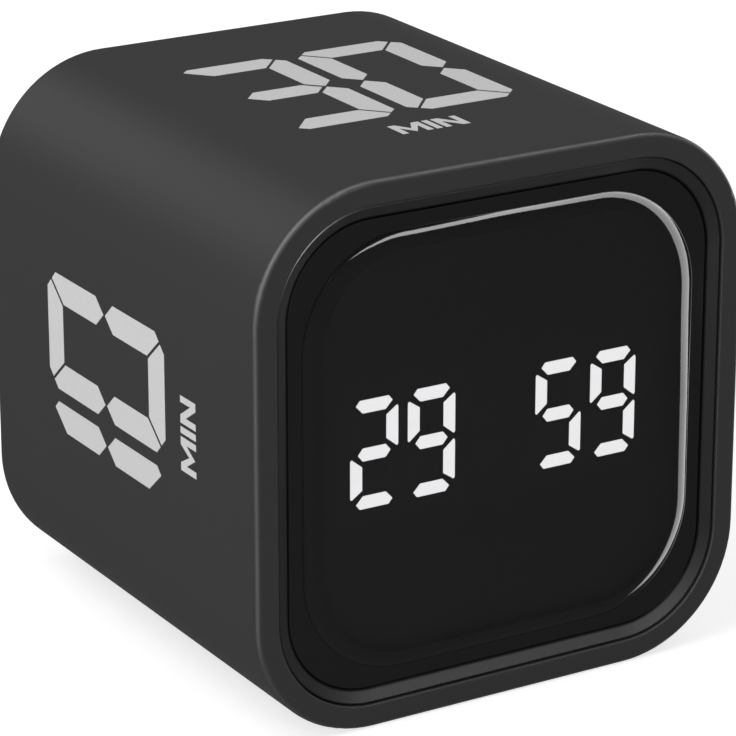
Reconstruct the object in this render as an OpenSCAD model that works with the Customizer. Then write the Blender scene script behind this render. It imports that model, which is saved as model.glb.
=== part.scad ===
// Flip cube timer: a rounded case with a dark display window, drawn as its separate pieces.
// Frame: origin at the centre of the underside, +X right, -Y front, +Z up, millimetres.
// Pieces are drawn in the case frame: x right, y up, z to the front, origin at the cube's centre.

/* [Case] */
// Outer size of the cube, the same all three ways
cube_size = 60; // [58:1:72]
// Radius of the four long corners
corner_radius = 14; // [12:0.5:16]
// Fillet round the front and rear edges
edge_fillet = 0.6; // [0.3:0.1:1.2]
// Wall of the case
wall = 2.6; // [2.2:0.1:3]
// Gap between the case and the parts that slide into its two ends
fit_gap = 0.15; // [0.05:0.05:0.3]
// Radius of the screw posts in the corners
post_r = 3.4; // [3:0.1:3.8]
// How far each post runs into the corner wall
post_bite = 0.5; // [0.3:0.1:1]
// Width of the rib that stops the bezel
stop_w = 1; // [0.6:0.1:1.4]
// Thickness of the rib that stops the bezel
stop_t = 2; // [1:0.5:3]

/* [Numerals] */
// Minutes printed on the top
top_minutes = 30; // [5, 10, 15, 20, 25, 30, 45, 60]
// Minutes printed on the left side
left_minutes = 10; // [5, 10, 15, 20, 25, 30, 45, 60]
// Minutes printed on the right side
right_minutes = 60; // [5, 10, 15, 20, 25, 30, 45, 60]
// Minutes printed on the underside
bottom_minutes = 5; // [5, 10, 15, 20, 25, 30, 45, 60]
// Width of a printed figure
figure_w = 13.5; // [10:0.5:14.5]
// Height of a printed figure
figure_h = 27; // [22:1:30]
// Width of the upright strokes
upright_w = 3.25; // [2:0.25:4]
// Width of the level strokes
level_w = 3.6; // [2:0.2:4.4]
// Space between two figures
figure_gap = 1.5; // [1:0.25:2.5]
// Cut across each outer corner of a figure
figure_chamfer = 2; // [1:0.25:3]
// Gap at the joint of two strokes
stroke_joint = 0.35; // [0.2:0.05:0.6]
// How far the figures sit behind the middle of their face
figure_back = 2.7; // [0:0.1:4]
// Shift of the left side's figures along their reading direction
left_shift = 1.1; // [-2:0.1:2]
// Shift of the left side's unit mark along its reading direction
left_unit_shift = 0.7; // [-2:0.1:2]
// Shift of the top's unit mark along its reading direction
top_unit_shift = -0.8; // [-2:0.1:2]
// Height of the unit mark's letters
unit_h = 3.3; // [2.5:0.1:4]
// Width of the unit mark's strokes
unit_stroke = 0.75; // [0.5:0.05:1]
// How far the unit mark's base line sits in front of the middle of its face
unit_front = 17.5; // [16.5:0.1:20]
// Depth of the printed inlay
ink_t = 0.2; // [0.1:0.05:0.4]

/* [Front bezel and window] */
// How far the bezel's outer edge lies behind the rim of the case
bezel_drop = 0.25; // [0.1:0.05:0.5]
// Width of the bezel's sloping face
bezel_lip = 1.5; // [1.2:0.1:2]
// Bevel on the bezel's outer edge, which makes the parting groove
groove_bevel = 0.15; // [0.05:0.05:0.25]
// Wall of the bezel behind the window
skirt_t = 1.4; // [1:0.1:1.8]
// Width of the ledge that the window is stuck to
ledge_w = 2.2; // [1.8:0.1:3]
// Thickness of that ledge
ledge_t = 1.5; // [1:0.1:2]
// How far the window's raised middle lies behind the rim of the case
window_recess = 0.15; // [0:0.05:0.4]
// Height of the window's raised middle
window_raise = 0.75; // [0.4:0.05:1]
// Thickness of the window at its edge band
window_edge_t = 0.75; // [0.5:0.05:1.5]
// Gap between the window and the bezel
window_gap = 0.1; // [0.05:0.05:0.2]
// Width of the flat band round the raised middle
band_w = 1.6; // [1:0.1:2.5]
// Width of the rounded rise from that band to the raised middle
rise_w = 1.9; // [1:0.1:2.4]
// Corner radius at the foot of that rise
rise_corner_r = 12; // [9:0.5:14]
// Thickness of the adhesive frame
tape_t = 0.2; // [0.1:0.05:0.4]
// Distance of the adhesive frame from the edges that it joins
tape_inset = 0.3; // [0.1:0.1:0.6]

/* [Display] */
// Minutes that the display shows
shown_minutes = 29; // [0:1:99]
// Seconds that the display shows
shown_seconds = 59; // [0:1:59]
// Width of a display figure
digit_w = 5.8; // [4.5:0.1:6.2]
// Height of a display figure
digit_h = 12; // [9:0.5:14]
// Width of a display segment
segment_t = 1.45; // [1.2:0.05:1.6]
// Gap at the joint of two segments
segment_joint = 0.62; // [0.4:0.02:0.8]
// Spacing of the two figures of a pair
digit_pitch = 6.95; // [6.6:0.05:7.4]
// Spacing of the two pairs
pair_pitch = 22.75; // [20:0.25:24]
// Radius of the two dots between the pairs
dot_r = 0.7; // [0.5:0.05:1]
// Spacing of the two dots
dot_pitch = 5; // [3:0.5:7]
// Rim of the display block outside its figures
block_rim = 2.5; // [1.5:0.1:3]
// Depth of the display block
block_d = 6; // [4:0.5:7]
// Air gap between the display block and the window
window_air = 0.3; // [0.1:0.1:0.6]
// Side of a light chip
chip_w = 0.8; // [0.5:0.1:1]
// Height of a light chip
chip_h = 0.6; // [0.4:0.1:0.8]
// Gap above a light chip
chip_air = 0.3; // [0.1:0.1:0.5]
// Thickness of both circuit boards
board_t = 1.6; // [1:0.2:2]
// Gap between the display board and the wall that it passes
display_board_gap = 0.6; // [0.4:0.1:1]
// Radius of the bezel's screw bosses
boss_r = 2.2; // [1.8:0.1:2.4]
// How far each boss runs into the ledge
boss_bite = 1; // [0.6:0.1:1.4]

/* [Screws] */
// Shank radius of the small screws
screw_r = 0.8; // [0.7:0.05:1]
// Head radius of the small screws
screw_head_r = 1.7; // [1.4:0.05:1.8]
// Head height of the small screws
screw_head_h = 1.2; // [0.8:0.1:1.4]
// Length of the small screws under the head
screw_l = 5; // [4:0.5:6]
// Shank radius of the cover screws
cover_screw_r = 1; // [0.9:0.05:1.2]
// Head radius of the cover screws
cover_head_r = 1.9; // [1.6:0.05:2]
// Head height of the cover screws
cover_head_h = 1.2; // [0.8:0.1:1.4]
// Length of the cover screws under the head
cover_screw_l = 9; // [7:0.5:12]
// Gap between a screw and its pilot hole
thread_gap = 0.05; // [0.02:0.01:0.1]
// Gap between a screw and the hole that it passes
pass_gap = 0.25; // [0.15:0.05:0.4]
// Empty depth past the end of a screw
pilot_spare = 0.5; // [0.3:0.1:1]

/* [Inner frame and battery] */
// Gap between the display board and the inner frame
frame_gap = 4.4; // [4:0.2:6]
// Thickness of the inner frame's plate
frame_t = 2; // [1.5:0.5:3]
// Gap between the inner frame and the stop rib that it passes
frame_clear = 0.4; // [0.2:0.1:0.8]
// Width of the battery
battery_w = 36; // [30:1:37]
// Height of the battery
battery_h = 30; // [24:1:31]
// Thickness of the battery
battery_t = 8; // [6:0.5:10]
// Edge radius of the battery
battery_round = 2; // [1:0.5:2.5]
// Thickness of the pad under the battery
pad_t = 0.5; // [0.3:0.1:1]
// How far the pad lies inside the battery's edges
pad_inset = 2.5; // [2.5:0.25:5]
// Gap between the battery and its tray
tray_gap = 0.3; // [0.2:0.1:0.5]
// Wall of the tray
tray_t = 1.5; // [1:0.1:1.8]
// Height of the tray's wall
tray_h = 7; // [4:0.5:8]
// Radius of a battery lead
lead_r = 0.6; // [0.4:0.05:0.7]
// Bend radius of the leads
lead_bend = 2; // [1.5:0.1:2.5]
// Straight stretch of a lead where it leaves its piece
lead_start = 2; // [1.5:0.1:2.4]

/* [Vibration motor] */
// Radius of the motor's can
motor_r = 3; // [2.5:0.1:3]
// Length of the motor's can
motor_l = 10; // [8:0.5:12]
// Wall of the rubber boot
boot_t = 0.6; // [0.4:0.1:0.8]
// Gap between the boot and its cradle
boot_gap = 0.05; // [0.02:0.01:0.1]
// Distance of the motor's axis from the frame's plate
motor_drop = 5; // [4.8:0.1:6]
// Sideways place of the motor's can
motor_x = -3; // [-4:0.5:-2]
// Wall of the cradle beside the boot
cradle_t = 0.4; // [0.4:0.1:0.5]
// How far the cradle runs into the tray's wall
cradle_bite = 0.1; // [0.05:0.05:0.2]
// How far the cradle ends short of the motor's axis
cradle_short = 1.5; // [1:0.1:2]
// Length of the can left bare at each end of the cradle
motor_bare = 1; // [0.5:0.25:2]
// Radius of the motor's shaft
shaft_r = 0.5; // [0.4:0.05:0.6]
// Running gap between the shaft and its bearing
shaft_gap = 0.05; // [0.02:0.01:0.1]
// Length of the shaft outside the can
shaft_out = 5; // [4:0.5:7]
// Length of the shaft inside the can
shaft_in = 3; // [2:0.5:4]
// Bare shaft between the can and the weight
weight_gap = 1.2; // [0.8:0.1:1.5]
// Radius of the eccentric weight
weight_r = 2.6; // [2:0.1:3]
// Length of the eccentric weight
weight_l = 3; // [2:0.5:3.5]
// Radius of the weight's hub
weight_hub_r = 1; // [0.8:0.1:1.2]
// Radius of a motor lead
motor_lead_r = 0.35; // [0.25:0.05:0.45]

/* [Main board] */
// Width of the main board
main_w = 34; // [33:0.5:34.5]
// Height of the main board
main_h = 48; // [46:0.5:50]
// Length of the cover's standoffs
standoff_h = 7; // [6.5:0.5:8]
// Radius of the cover's standoffs
standoff_r = 2.2; // [1.8:0.1:2.4]
// Sideways place of the standoffs
standoff_x = 14; // [13.5:0.25:14.5]
// Height of the upper standoffs
standoff_top = 13; // [12.5:0.25:13]
// Height of the lower standoffs
standoff_low = -16.5; // [-17:0.25:-16]
// Width of the ribbon lead
ribbon_w = 12; // [8:1:14]
// Thickness of the ribbon lead
ribbon_t = 0.3; // [0.2:0.05:0.4]
// Height of the ribbon lead
ribbon_y = -20; // [-20.5:0.25:-19.5]
// Slack of the ribbon lead, as the depth of its bow
ribbon_bow = 2; // [0.5:0.5:3]
// Height of the ribbon's sockets
socket_h = 2; // [1.5:0.25:3]
// How far the ribbon goes into a socket
ribbon_in = 1.2; // [0.8:0.1:1.4]
// Gap between the ribbon and its socket
ribbon_gap = 0.1; // [0.05:0.05:0.2]
// Gap round the ribbon where it passes the inner frame
ribbon_pass = 1; // [0.5:0.25:1.5]
// Width of a ribbon socket beside the ribbon
socket_side = 1.5; // [1:0.25:2]
// Depth of a ribbon socket across the ribbon
socket_w = 4; // [3:0.25:4.5]
// Radius of the sounder
sounder_r = 6; // [5:0.25:6]
// Height of the sounder
sounder_h = 5.5; // [4:0.5:6]
// Radius of the hole in the sounder's face
sounder_hole_r = 1.2; // [0.8:0.1:1.5]
// Depth of the hole in the sounder's face
sounder_hole_d = 1; // [0.5:0.25:2]
// How far the sounder's gasket lies inside its edge
gasket_inset = 0.3; // [0.2:0.1:0.6]
// Width of the sounder's gasket
gasket_w = 1.2; // [0.8:0.1:1.6]
// Sideways place of the sounder
sounder_x = -8.5; // [-9:0.25:-8]
// Height of the sounder's middle
sounder_y = -8.5; // [-8.5:0.25:-8]

/* [Rear cover] */
// How far the cover lies inside the rear rim
cover_recess = 0.4; // [0.3:0.1:0.8]
// Thickness of the cover
cover_t = 2; // [1.8:0.1:2.6]
// Length of the cover's screw bosses
cover_boss_h = 1.6; // [1:0.2:3]
// Depth of the pockets for the screw heads
head_pocket = 1.4; // [1.2:0.1:1.5]
// Radius of a sound hole
sound_hole_r = 0.6; // [0.4:0.05:0.8]
// Circle that the outer sound holes lie on
sound_ring_r = 2.6; // [2:0.1:3.5]
// Radius of the light pipe
pipe_r = 0.9; // [0.6:0.1:1.2]
// Sideways place of the light pipe
pipe_x = 9; // [8:0.25:9.5]

/* [Buttons] */
// Radius of a button
button_r = 3.8; // [3:0.1:4]
// Gap between a button and its hole
button_gap = 0.2; // [0.1:0.05:0.3]
// Spacing of the three buttons
button_pitch = 10.5; // [10.25:0.25:11]
// Height of the row of buttons
button_y = 4; // [3:0.25:4.5]
// How far a button stands out of the cover
button_proud = 0.3; // [0:0.05:0.3]
// How far a button can be pressed
button_travel = 0.4; // [0.2:0.05:0.5]
// Width of the collar that holds a button in
collar_w = 0.7; // [0.5:0.05:0.8]
// Thickness of that collar
collar_t = 0.8; // [0.6:0.1:1]
// Gap between the collar and the cover
collar_gap = 0.1; // [0.05:0.05:0.2]
// Radius of a button's stem
stem_r = 1.5; // [1:0.1:1.6]
// Depth of the dish in a button's face
dish_d = 0.15; // [0.05:0.05:0.25]
// Side of a key switch
key_w = 6; // [5:0.25:6.5]
// Height of a key switch
key_h = 3.5; // [3:0.1:3.8]
// Radius of a key switch's plunger
plunger_r = 1.65; // [1.2:0.05:1.75]
// How far the plunger stands out of its switch
plunger_out = 0.9; // [0.8:0.05:1.2]
// Length of the plunger inside its switch
plunger_in = 1.2; // [0.8:0.1:1.4]
// Gap between the plunger and its switch
plunger_gap = 0.1; // [0.05:0.05:0.2]

/* [Mode switch] */
// Travel of the slider to each side of the middle
slide_travel = 2; // [1:0.25:2.5]
// Height of the slide switch's middle
slide_y = 18; // [17.75:0.25:18.5]
// Length of the slider's knob
knob_l = 5; // [4:0.25:6]
// Width of the slider's knob
knob_w = 2.8; // [2:0.1:3]
// Gap round the knob in its slot
knob_gap = 0.2; // [0.1:0.05:0.3]
// Number of grip ribs on the knob
knob_ribs = 4; // [2:1:5]
// Width of a groove between the ribs
rib_groove = 0.45; // [0.3:0.05:0.5]
// Depth of a groove between the ribs
rib_depth = 0.4; // [0.2:0.05:0.6]
// Thickness of the plate that carries the knob
slider_t = 1; // [0.8:0.1:1.2]
// Width of that plate
slider_w = 4.6; // [4.2:0.1:4.8]
// How far the plate still covers the end of the slot at full travel
slider_cover = 0.3; // [0.2:0.1:0.6]
// Thickness of the rails beside the plate
rail_t = 0.6; // [0.5:0.05:0.7]
// Length of the switch's body
slide_body_l = 9; // [8.6:0.2:10]
// Width of the switch's body
slide_body_w = 4; // [3.6:0.1:4.5]
// Side of the post that the slider moves
slide_post_w = 1.5; // [1:0.1:1.6]
// Length of the post inside the switch
slide_post_in = 1.4; // [1:0.1:1.8]

/* [Charging socket] */
// Width of the socket's metal shell
usb_w = 8.94; // [8.94:0.01:9]
// Height of the socket's metal shell
usb_h = 3.26; // [3.26:0.01:3.3]
// Wall of the socket's metal shell
usb_wall = 0.3; // [0.25:0.01:0.32]
// Height of the socket's middle
usb_y = -19; // [-20:0.25:-18.5]
// Gap between the socket and the cover
usb_gap = 0.2; // [0.1:0.05:0.3]
// How far the socket's mouth lies inside the cover's face
usb_inset = 0.2; // [0:0.05:0.5]
// Depth of the socket
usb_depth = 6.5; // [6.2:0.1:6.8]
// Width of the contact tongue
tongue_w = 6.7; // [6.6:0.05:6.8]
// Thickness of the contact tongue
tongue_t = 0.7; // [0.65:0.05:0.75]
// How far the tongue ends inside the socket's mouth
tongue_inset = 0.8; // [0.6:0.1:1]

/* [Board parts] */
// Battery plug: width, height and thickness
plug_size = [7, 6, 4]; // [3:0.5:7]
// Battery plug: place
plug_at = [11.5, 6.5]; // [6:0.5:12]
// Spacing of the battery plug's two leads
plug_pitch = 2; // [1.5:0.25:2.5]
// Display driver chip: width, height and thickness
driver_size = [9, 9, 1.4]; // [1:0.1:9]
// Display driver chip: place
driver_at = [0, 8.5]; // [-9:0.5:9]
// Controller chip: width, height and thickness
controller_size = [7, 7, 1.2]; // [0.8:0.1:7]
// Controller chip: place
controller_at = [-5, 3]; // [-6:0.5:4]
// Motion sensor: width, height and thickness
motion_size = [3, 3, 1]; // [0.8:0.1:3]
// Motion sensor: place
motion_at = [5, -4]; // [-5:0.5:6]
// Charge controller: width, height and thickness
charger_size = [5, 4, 1.5]; // [0.8:0.1:5]
// Charge controller: place
charger_at = [8, -12]; // [-12:0.5:8]
// Small board parts: width, height and thickness
small_size = [2, 1.25, 0.9]; // [0.6:0.05:2]
// Charge light chip: width, height and thickness
charge_light_size = [1.6, 0.8, 0.8]; // [0.6:0.1:1.6]

/* [Hidden] */
$fn = 64;
half = cube_size / 2;
cavity = half - wall;
cavity_r = corner_radius - wall;
corner_at = half - corner_radius;
over = 1;

// Case posts: centred so that each bites into its corner wall
post_at = corner_at + (cavity_r - post_r + post_bite) / sqrt(2);

// Levels along the front axis, from the window to the inner frame
z_lip = half - bezel_drop;
z_raised = half - window_recess;
z_band = z_raised - window_raise;
z_window_back = z_band - window_edge_t;
z_ledge = z_window_back - tape_t;
z_ledge_back = z_ledge - ledge_t;
z_block = z_window_back - window_air;
z_display = z_block - block_d;
z_display_back = z_display - board_t;
z_frame = z_display_back - frame_gap;
z_frame_back = z_frame - frame_t;
z_battery = z_frame_back - pad_t - battery_t / 2;

// Levels along the front axis, from the rear cover to the main board
z_cover = -half + cover_recess;
z_cover_in = z_cover + cover_t;
z_boss_end = z_cover_in + cover_boss_h;
z_main_rear = z_cover_in + standoff_h;
z_main = z_main_rear + board_t;
z_key = z_main_rear - key_h;
z_plunger = z_key - plunger_out;

// Bezel, window and display board outlines
bezel_half = cavity - fit_gap;
bezel_r = cavity_r - fit_gap;
pocket_half = bezel_half - bezel_lip;
ledge_half = pocket_half - ledge_w;
ledge_r = bezel_r - bezel_lip - ledge_w;
window_half = pocket_half - window_gap;
window_r = bezel_r - bezel_lip - window_gap;
foot_half = window_half - band_w;
rise_step = 15;
boss_at = corner_at + (ledge_r - boss_r + boss_bite) / sqrt(2);
stop_half = cavity - stop_w;
stop_r = cavity_r - stop_w;
display_half = stop_half - display_board_gap;
display_r = stop_r - display_board_gap;
frame_half = stop_half - frame_clear;
frame_r = stop_r - frame_clear;
cover_half = cavity - fit_gap;
cover_r = cavity_r - fit_gap;
cover_boss_r = post_r - post_bite - 2 * fit_gap;

// Display block
block_w = pair_pitch + digit_pitch + digit_w + 2 * block_rim;
block_h = digit_h + 2 * block_rim;
DIGITS = [floor(shown_minutes / 10), shown_minutes % 10, floor(shown_seconds / 10), shown_seconds % 10];

// Segment letters, and the letters that make each figure
SEGMENTS = ["a", "b", "c", "d", "e", "f", "g"];
FIGURES = ["abcdef", "bc", "abdeg", "abcdg", "bcfg", "acdfg", "acdefg", "abc", "abcdefg", "abcdfg"];

// Shape of the printed strokes: the length of a stroke's point, and the gap beside the middle stroke
stroke_point = 0.55 * upright_w;
middle_gap = 1.4 * stroke_joint;

// Shape of the unit mark's letters: widths, spacing, slanted strokes, and the two ends of the M's dip
letter_m_w = 1.15 * unit_h;
letter_n_w = 0.92 * unit_h;
letter_space = 0.5 * unit_stroke;
letter_slant = 1.2 * unit_stroke;
letter_low = 0.06 * unit_h;
letter_dip = 0.45 * unit_h;

// Shape of the display strokes: cut corners, flats and points
segment_cut_x = 0.48 * segment_t;
segment_cut_y = 0.4 * segment_t;
segment_flat = 0.8 * segment_t;
segment_inner = 1.05 * segment_t;
segment_blunt = 0.12 * segment_t;
segment_point = 0.64 * segment_t;

// Cross recess of a screw head, as parts of the head's radius and height
recess_reach = 0.6;
recess_half_w = 0.12;
recess_depth = 0.5;

// Printed faces: turn about the front axis, minutes, shift of the figures, shift of the unit mark
TOP = [0, top_minutes, 0, top_unit_shift];
LEFT = [90, left_minutes, left_shift, left_unit_shift];
BOTTOM = [180, bottom_minutes, 0, 0];
RIGHT = [270, right_minutes, 0, 0];

// Battery tray, motor and leads
tray_w = battery_w + 2 * tray_gap;
tray_in_h = battery_h + 2 * tray_gap;
cradle_r = motor_r + boot_t + boot_gap;
cradle_half = cradle_r + cradle_t;
cradle_depth = motor_drop - cradle_short;
cradle_l = motor_l - 2 * motor_bare;
motor_y = tray_in_h / 2 + tray_t + cradle_half - cradle_bite;
motor_z = z_frame_back - motor_drop;
motor_end = motor_x + motor_l / 2;
weight_start = motor_end + weight_gap;

// Places of the small parts on the main board
SMALL_PARTS = [[-12, 1], [-12, -2], [-12, -5], [3, 13], [6, 13], [0, -11], [-4, -11], [13, -6]];

// Buttons and the slider
button_hole_r = button_r + button_gap;
collar_r = button_hole_r + collar_w;
z_button = z_cover - button_proud;
z_collar = z_cover_in + collar_gap;
knob_slot_l = knob_l + 2 * (slide_travel + knob_gap);
slider_l = knob_slot_l + 2 * (slide_travel + slider_cover);
z_slider = z_cover_in + collar_gap;
post_slot_l = slide_post_w + 2 * (slide_travel + knob_gap);
z_usb = z_cover + usb_inset;

// Case frame to the part's own frame
module in_case() {
    translate([0, 0, half])
        rotate([90, 0, 0])
            children();
}

// Square with round corners, from its half width and corner radius
module round_square(half_w, r) {
    square([2 * half_w, 2 * (half_w - r)], center = true);
    square([2 * (half_w - r), 2 * half_w], center = true);
    at_corners(half_w - r)
        circle(r);
}

// Slot outline with round ends
module slot_outline(w, h) {
    square([w - h, h], center = true);
    for (side = [-1, 1])
        translate([side * (w - h) / 2, 0])
            circle(h / 2);
}

// The four corners of a square of half width d
module at_corners(d) {
    for (sx = [-1, 1], sy = [-1, 1])
        translate([sx * d, sy * d, 0])
            children();
}

// Prism of a flat outline between two levels
module between(z0, z1) {
    translate([0, 0, z0])
        linear_extrude(height = z1 - z0)
            children();
}

// Rod along the front axis between two levels
module rod(r, z0, z1) {
    translate([0, 0, z0])
        cylinder(r = r, h = z1 - z0);
}

// Box on a level, centred on a place
module chip(place, size, z0) {
    translate([place[0] - size[0] / 2, place[1] - size[1] / 2, z0])
        cube(size);
}

// Carries a flat section round a square with round corners; the section's x points outwards from the outline
module ring_sweep(half_w, r) {
    for (k = [0:3])
        rotate([0, 0, 90 * k]) {
            translate([half_w, 0, 0])
                rotate([90, 0, 0])
                    linear_extrude(height = 2 * (half_w - r), center = true)
                        children();
            translate([half_w - r, half_w - r, 0])
                rotate_extrude(angle = 90)
                    translate([r, 0])
                        children();
        }
}

// Pan-head screw along the front axis: head on level z, shank to the given side, cross recess in the head
module screw(r, head_r, head_h, l, z, way) {
    translate([0, 0, z])
        mirror([0, 0, way > 0 ? 0 : 1])
            difference() {
                union() {
                    rod(r, 0, l);
                    rod(head_r, -head_h, 0);
                }
                for (turn = [0, 90])
                    rotate([0, 0, turn])
                        translate([0, 0, -head_h - over])
                            between(0, over + head_h * recess_depth)
                                square(2 * head_r * [recess_reach, recess_half_w], center = true);
            }
}

// Places one stroke of a seven-stroke figure: children are the top, the upper right and the middle stroke
module stroke_at(letter) {
    if (letter == "a")
        children(0);
    if (letter == "d")
        mirror([0, 1])
            children(0);
    if (letter == "b")
        children(1);
    if (letter == "c")
        mirror([0, 1])
            children(1);
    if (letter == "f")
        mirror([1, 0])
            children(1);
    if (letter == "e")
        rotate(180)
            children(1);
    if (letter == "g")
        children(2);
}

function has_stroke(figure, letter) = len(search(letter, FIGURES[figure])) > 0;
function figures_of(minutes) = minutes < 10 ? [minutes] : [floor(minutes / 10), minutes % 10];

// Printed strokes, about the middle of their figure
module printed_top() {
    x = figure_w / 2;
    y = figure_h / 2;
    cut = figure_chamfer;
    ease = stroke_joint / 2 / sqrt(2);
    polygon([
        [-x + cut / 2 + ease, y - cut / 2 + ease], [-x + cut, y], [x - cut, y],
        [x - cut / 2 - ease, y - cut / 2 + ease],
        [x - upright_w - 2 * ease, y - level_w], [-x + upright_w + 2 * ease, y - level_w]
    ]);
}

module printed_side() {
    x = figure_w / 2;
    y = figure_h / 2;
    cut = figure_chamfer;
    ease = stroke_joint / 2 / sqrt(2);
    tip = stroke_joint / 2;
    polygon([
        [x - cut / 2 + ease, y - cut / 2 - ease], [x, y - cut], [x, tip + stroke_point],
        [x - upright_w / 2, tip], [x - upright_w, tip + stroke_point],
        [x - upright_w, y - level_w - 2 * ease]
    ]);
}

module printed_middle() {
    tip = figure_w / 2 - upright_w / 2 - middle_gap;
    flat = figure_w / 2 - upright_w - middle_gap;
    y = level_w / 2;
    polygon([[-tip, 0], [-flat, y], [flat, y], [tip, 0], [flat, -y], [-flat, -y]]);
}

// A figure 1 is only as wide as its strokes
function figure_step(figure) = figure == 1 ? upright_w : figure_w;
function figure_start(list, k) =
    k == 0 ? 0 : figure_start(list, k - 1) + figure_step(list[k - 1]) + figure_gap;

module printed_figure(figure) {
    back = figure == 1 ? (figure_w - upright_w) / 2 : 0;
    translate([-back, 0])
        for (letter = SEGMENTS)
            if (has_stroke(figure, letter))
                stroke_at(letter) {
                    printed_top();
                    printed_side();
                    printed_middle();
                }
}

module printed_number(minutes) {
    list = figures_of(minutes);
    last = len(list) - 1;
    whole = figure_start(list, last) + figure_step(list[last]);
    for (k = [0:last])
        translate([figure_start(list, k) + figure_step(list[k]) / 2 - whole / 2, 0])
            printed_figure(list[k]);
}

// Unit mark for minutes in plain block letters, base line on y = 0
module unit_mark() {
    whole = letter_m_w + letter_n_w + unit_stroke + 2 * letter_space;
    translate([-whole / 2, 0])
        letter_m(letter_m_w);
    translate([letter_m_w + letter_space - whole / 2, 0])
        square([unit_stroke, unit_h]);
    translate([whole / 2 - letter_n_w, 0])
        letter_n(letter_n_w);
}

module letter_m(w) {
    crotch = unit_h - (unit_h - letter_low) * unit_stroke / (w / 2);
    polygon([
        [0, 0], [0, unit_h], [letter_slant, unit_h], [w / 2, letter_dip], [w - letter_slant, unit_h],
        [w, unit_h], [w, 0], [w - unit_stroke, 0], [w - unit_stroke, crotch], [w / 2, letter_low],
        [unit_stroke, crotch], [unit_stroke, 0]
    ]);
}

module letter_n(w) {
    crotch = unit_h * unit_stroke / (w - letter_slant);
    polygon([
        [0, 0], [0, unit_h], [letter_slant, unit_h], [w - unit_stroke, crotch], [w - unit_stroke, unit_h],
        [w, unit_h], [w, 0], [w - letter_slant, 0], [unit_stroke, unit_h - crotch], [unit_stroke, 0]
    ]);
}

// Printed figures and unit mark of one face, as a prism that ends rise above the face
module face_print(face, rise) {
    rotate([0, 0, face[0]])
        translate([0, half - ink_t, 0])
            rotate([-90, 0, 0])
                linear_extrude(height = ink_t + rise) {
                    translate([face[2], figure_back])
                        printed_number(face[1]);
                    translate([face[3], -unit_front])
                        unit_mark();
                }
}

module numerals(face) {
    color("#c6c6c6")
        in_case()
            face_print(face, 0);
}

// Section of the case wall, with a fillet at each outer end
module wall_section() {
    translate([-wall, -half])
        square([wall - edge_fillet, 2 * half]);
    translate([-wall, edge_fillet - half])
        square([wall, 2 * (half - edge_fillet)]);
    for (side = [-1, 1])
        translate([-edge_fillet, side * (half - edge_fillet)])
            circle(edge_fillet);
}

module outer_shell() {
    pilot_r = cover_screw_r + thread_gap;
    cover_pilot = cover_screw_l - (cover_t + cover_boss_h - head_pocket) + pilot_spare;
    frame_pilot = screw_l - frame_t + pilot_spare;
    color("#3d3d3e")
        in_case()
            difference() {
                union() {
                    ring_sweep(half, corner_radius)
                        wall_section();
                    ring_sweep(cavity, cavity_r)
                        translate([-stop_w, z_display - stop_t])
                            square([stop_w + wall / 2, stop_t]);
                    at_corners(post_at)
                        rod(post_r, z_boss_end, z_frame_back);
                }
                at_corners(post_at) {
                    rod(pilot_r, z_boss_end - over, z_boss_end + cover_pilot);
                    rod(screw_r + thread_gap, z_frame_back - frame_pilot, z_frame_back + over);
                }
                for (face = [TOP, LEFT, BOTTOM, RIGHT])
                    face_print(face, over);
            }
}

// Section of the bezel: sloping lip, pocket wall, window ledge and skirt
module bezel_section() {
    inner = bezel_lip + ledge_w;
    polygon([
        [0, z_display], [0, z_lip - groove_bevel], [-groove_bevel, z_lip], [-bezel_lip, z_band],
        [-bezel_lip, z_ledge], [-inner, z_ledge], [-inner, z_ledge_back], [-skirt_t, z_ledge_back],
        [-skirt_t, z_display]
    ]);
}

module front_bezel() {
    color("#2f2f30")
        in_case()
            difference() {
                union() {
                    ring_sweep(bezel_half, bezel_r)
                        bezel_section();
                    at_corners(boss_at)
                        rod(boss_r, z_display, z_ledge_back + ledge_t / 2);
                }
                at_corners(boss_at)
                    rod(screw_r + thread_gap, z_display - over, z_display + screw_l - board_t + pilot_spare);
            }
}

module window_tape() {
    color("#111111")
        in_case()
            between(z_ledge, z_window_back)
                difference() {
                    round_square(window_half - tape_inset, window_r - tape_inset);
                    round_square(ledge_half + tape_inset, ledge_r + tape_inset);
                }
}

// Section of the window's rise: a quarter of an ellipse from the band to the raised middle
module rise_section() {
    edge = [for (a = [0 : rise_step : 90]) [-rise_w * (1 - cos(a)), z_band + window_raise * sin(a)]];
    back = [[-2 * rise_w, z_raised], [-2 * rise_w, z_window_back], [0, z_window_back]];
    polygon(concat(edge, back));
}

// Window: edge band, then a rounded rise up to the raised middle
module display_window() {
    color("#1a1a1a")
        in_case() {
            between(z_window_back, z_band)
                round_square(window_half, window_r);
            between(z_window_back, z_raised)
                round_square(foot_half - rise_w, rise_corner_r - rise_w);
            ring_sweep(foot_half, rise_corner_r)
                rise_section();
        }
}

// Display strokes, about the middle of their figure
module segment_top() {
    x = digit_w / 2;
    y = digit_h / 2;
    polygon([
        [-x + segment_cut_x, y - segment_cut_y], [-x + segment_flat, y], [x - segment_flat, y],
        [x - segment_cut_x, y - segment_cut_y],
        [x - segment_inner, y - segment_t], [-x + segment_inner, y - segment_t]
    ]);
}

module segment_side() {
    x = digit_w / 2;
    top = digit_h / 2 - segment_joint;
    low = segment_joint / 2;
    polygon([
        [x - segment_blunt, top - segment_cut_y], [x, top - segment_cut_y - segment_blunt],
        [x, low + segment_blunt], [x - segment_blunt, low],
        [x - segment_t, segment_t / 2 + segment_joint], [x - segment_t, top - segment_t]
    ]);
}

module segment_middle() {
    tip = digit_w / 2 - segment_point;
    flat = digit_w / 2 - segment_inner;
    y = segment_t / 2;
    polygon([[-tip, 0], [-flat, y], [flat, y], [tip, 0], [flat, -y], [-flat, -y]]);
}

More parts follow.
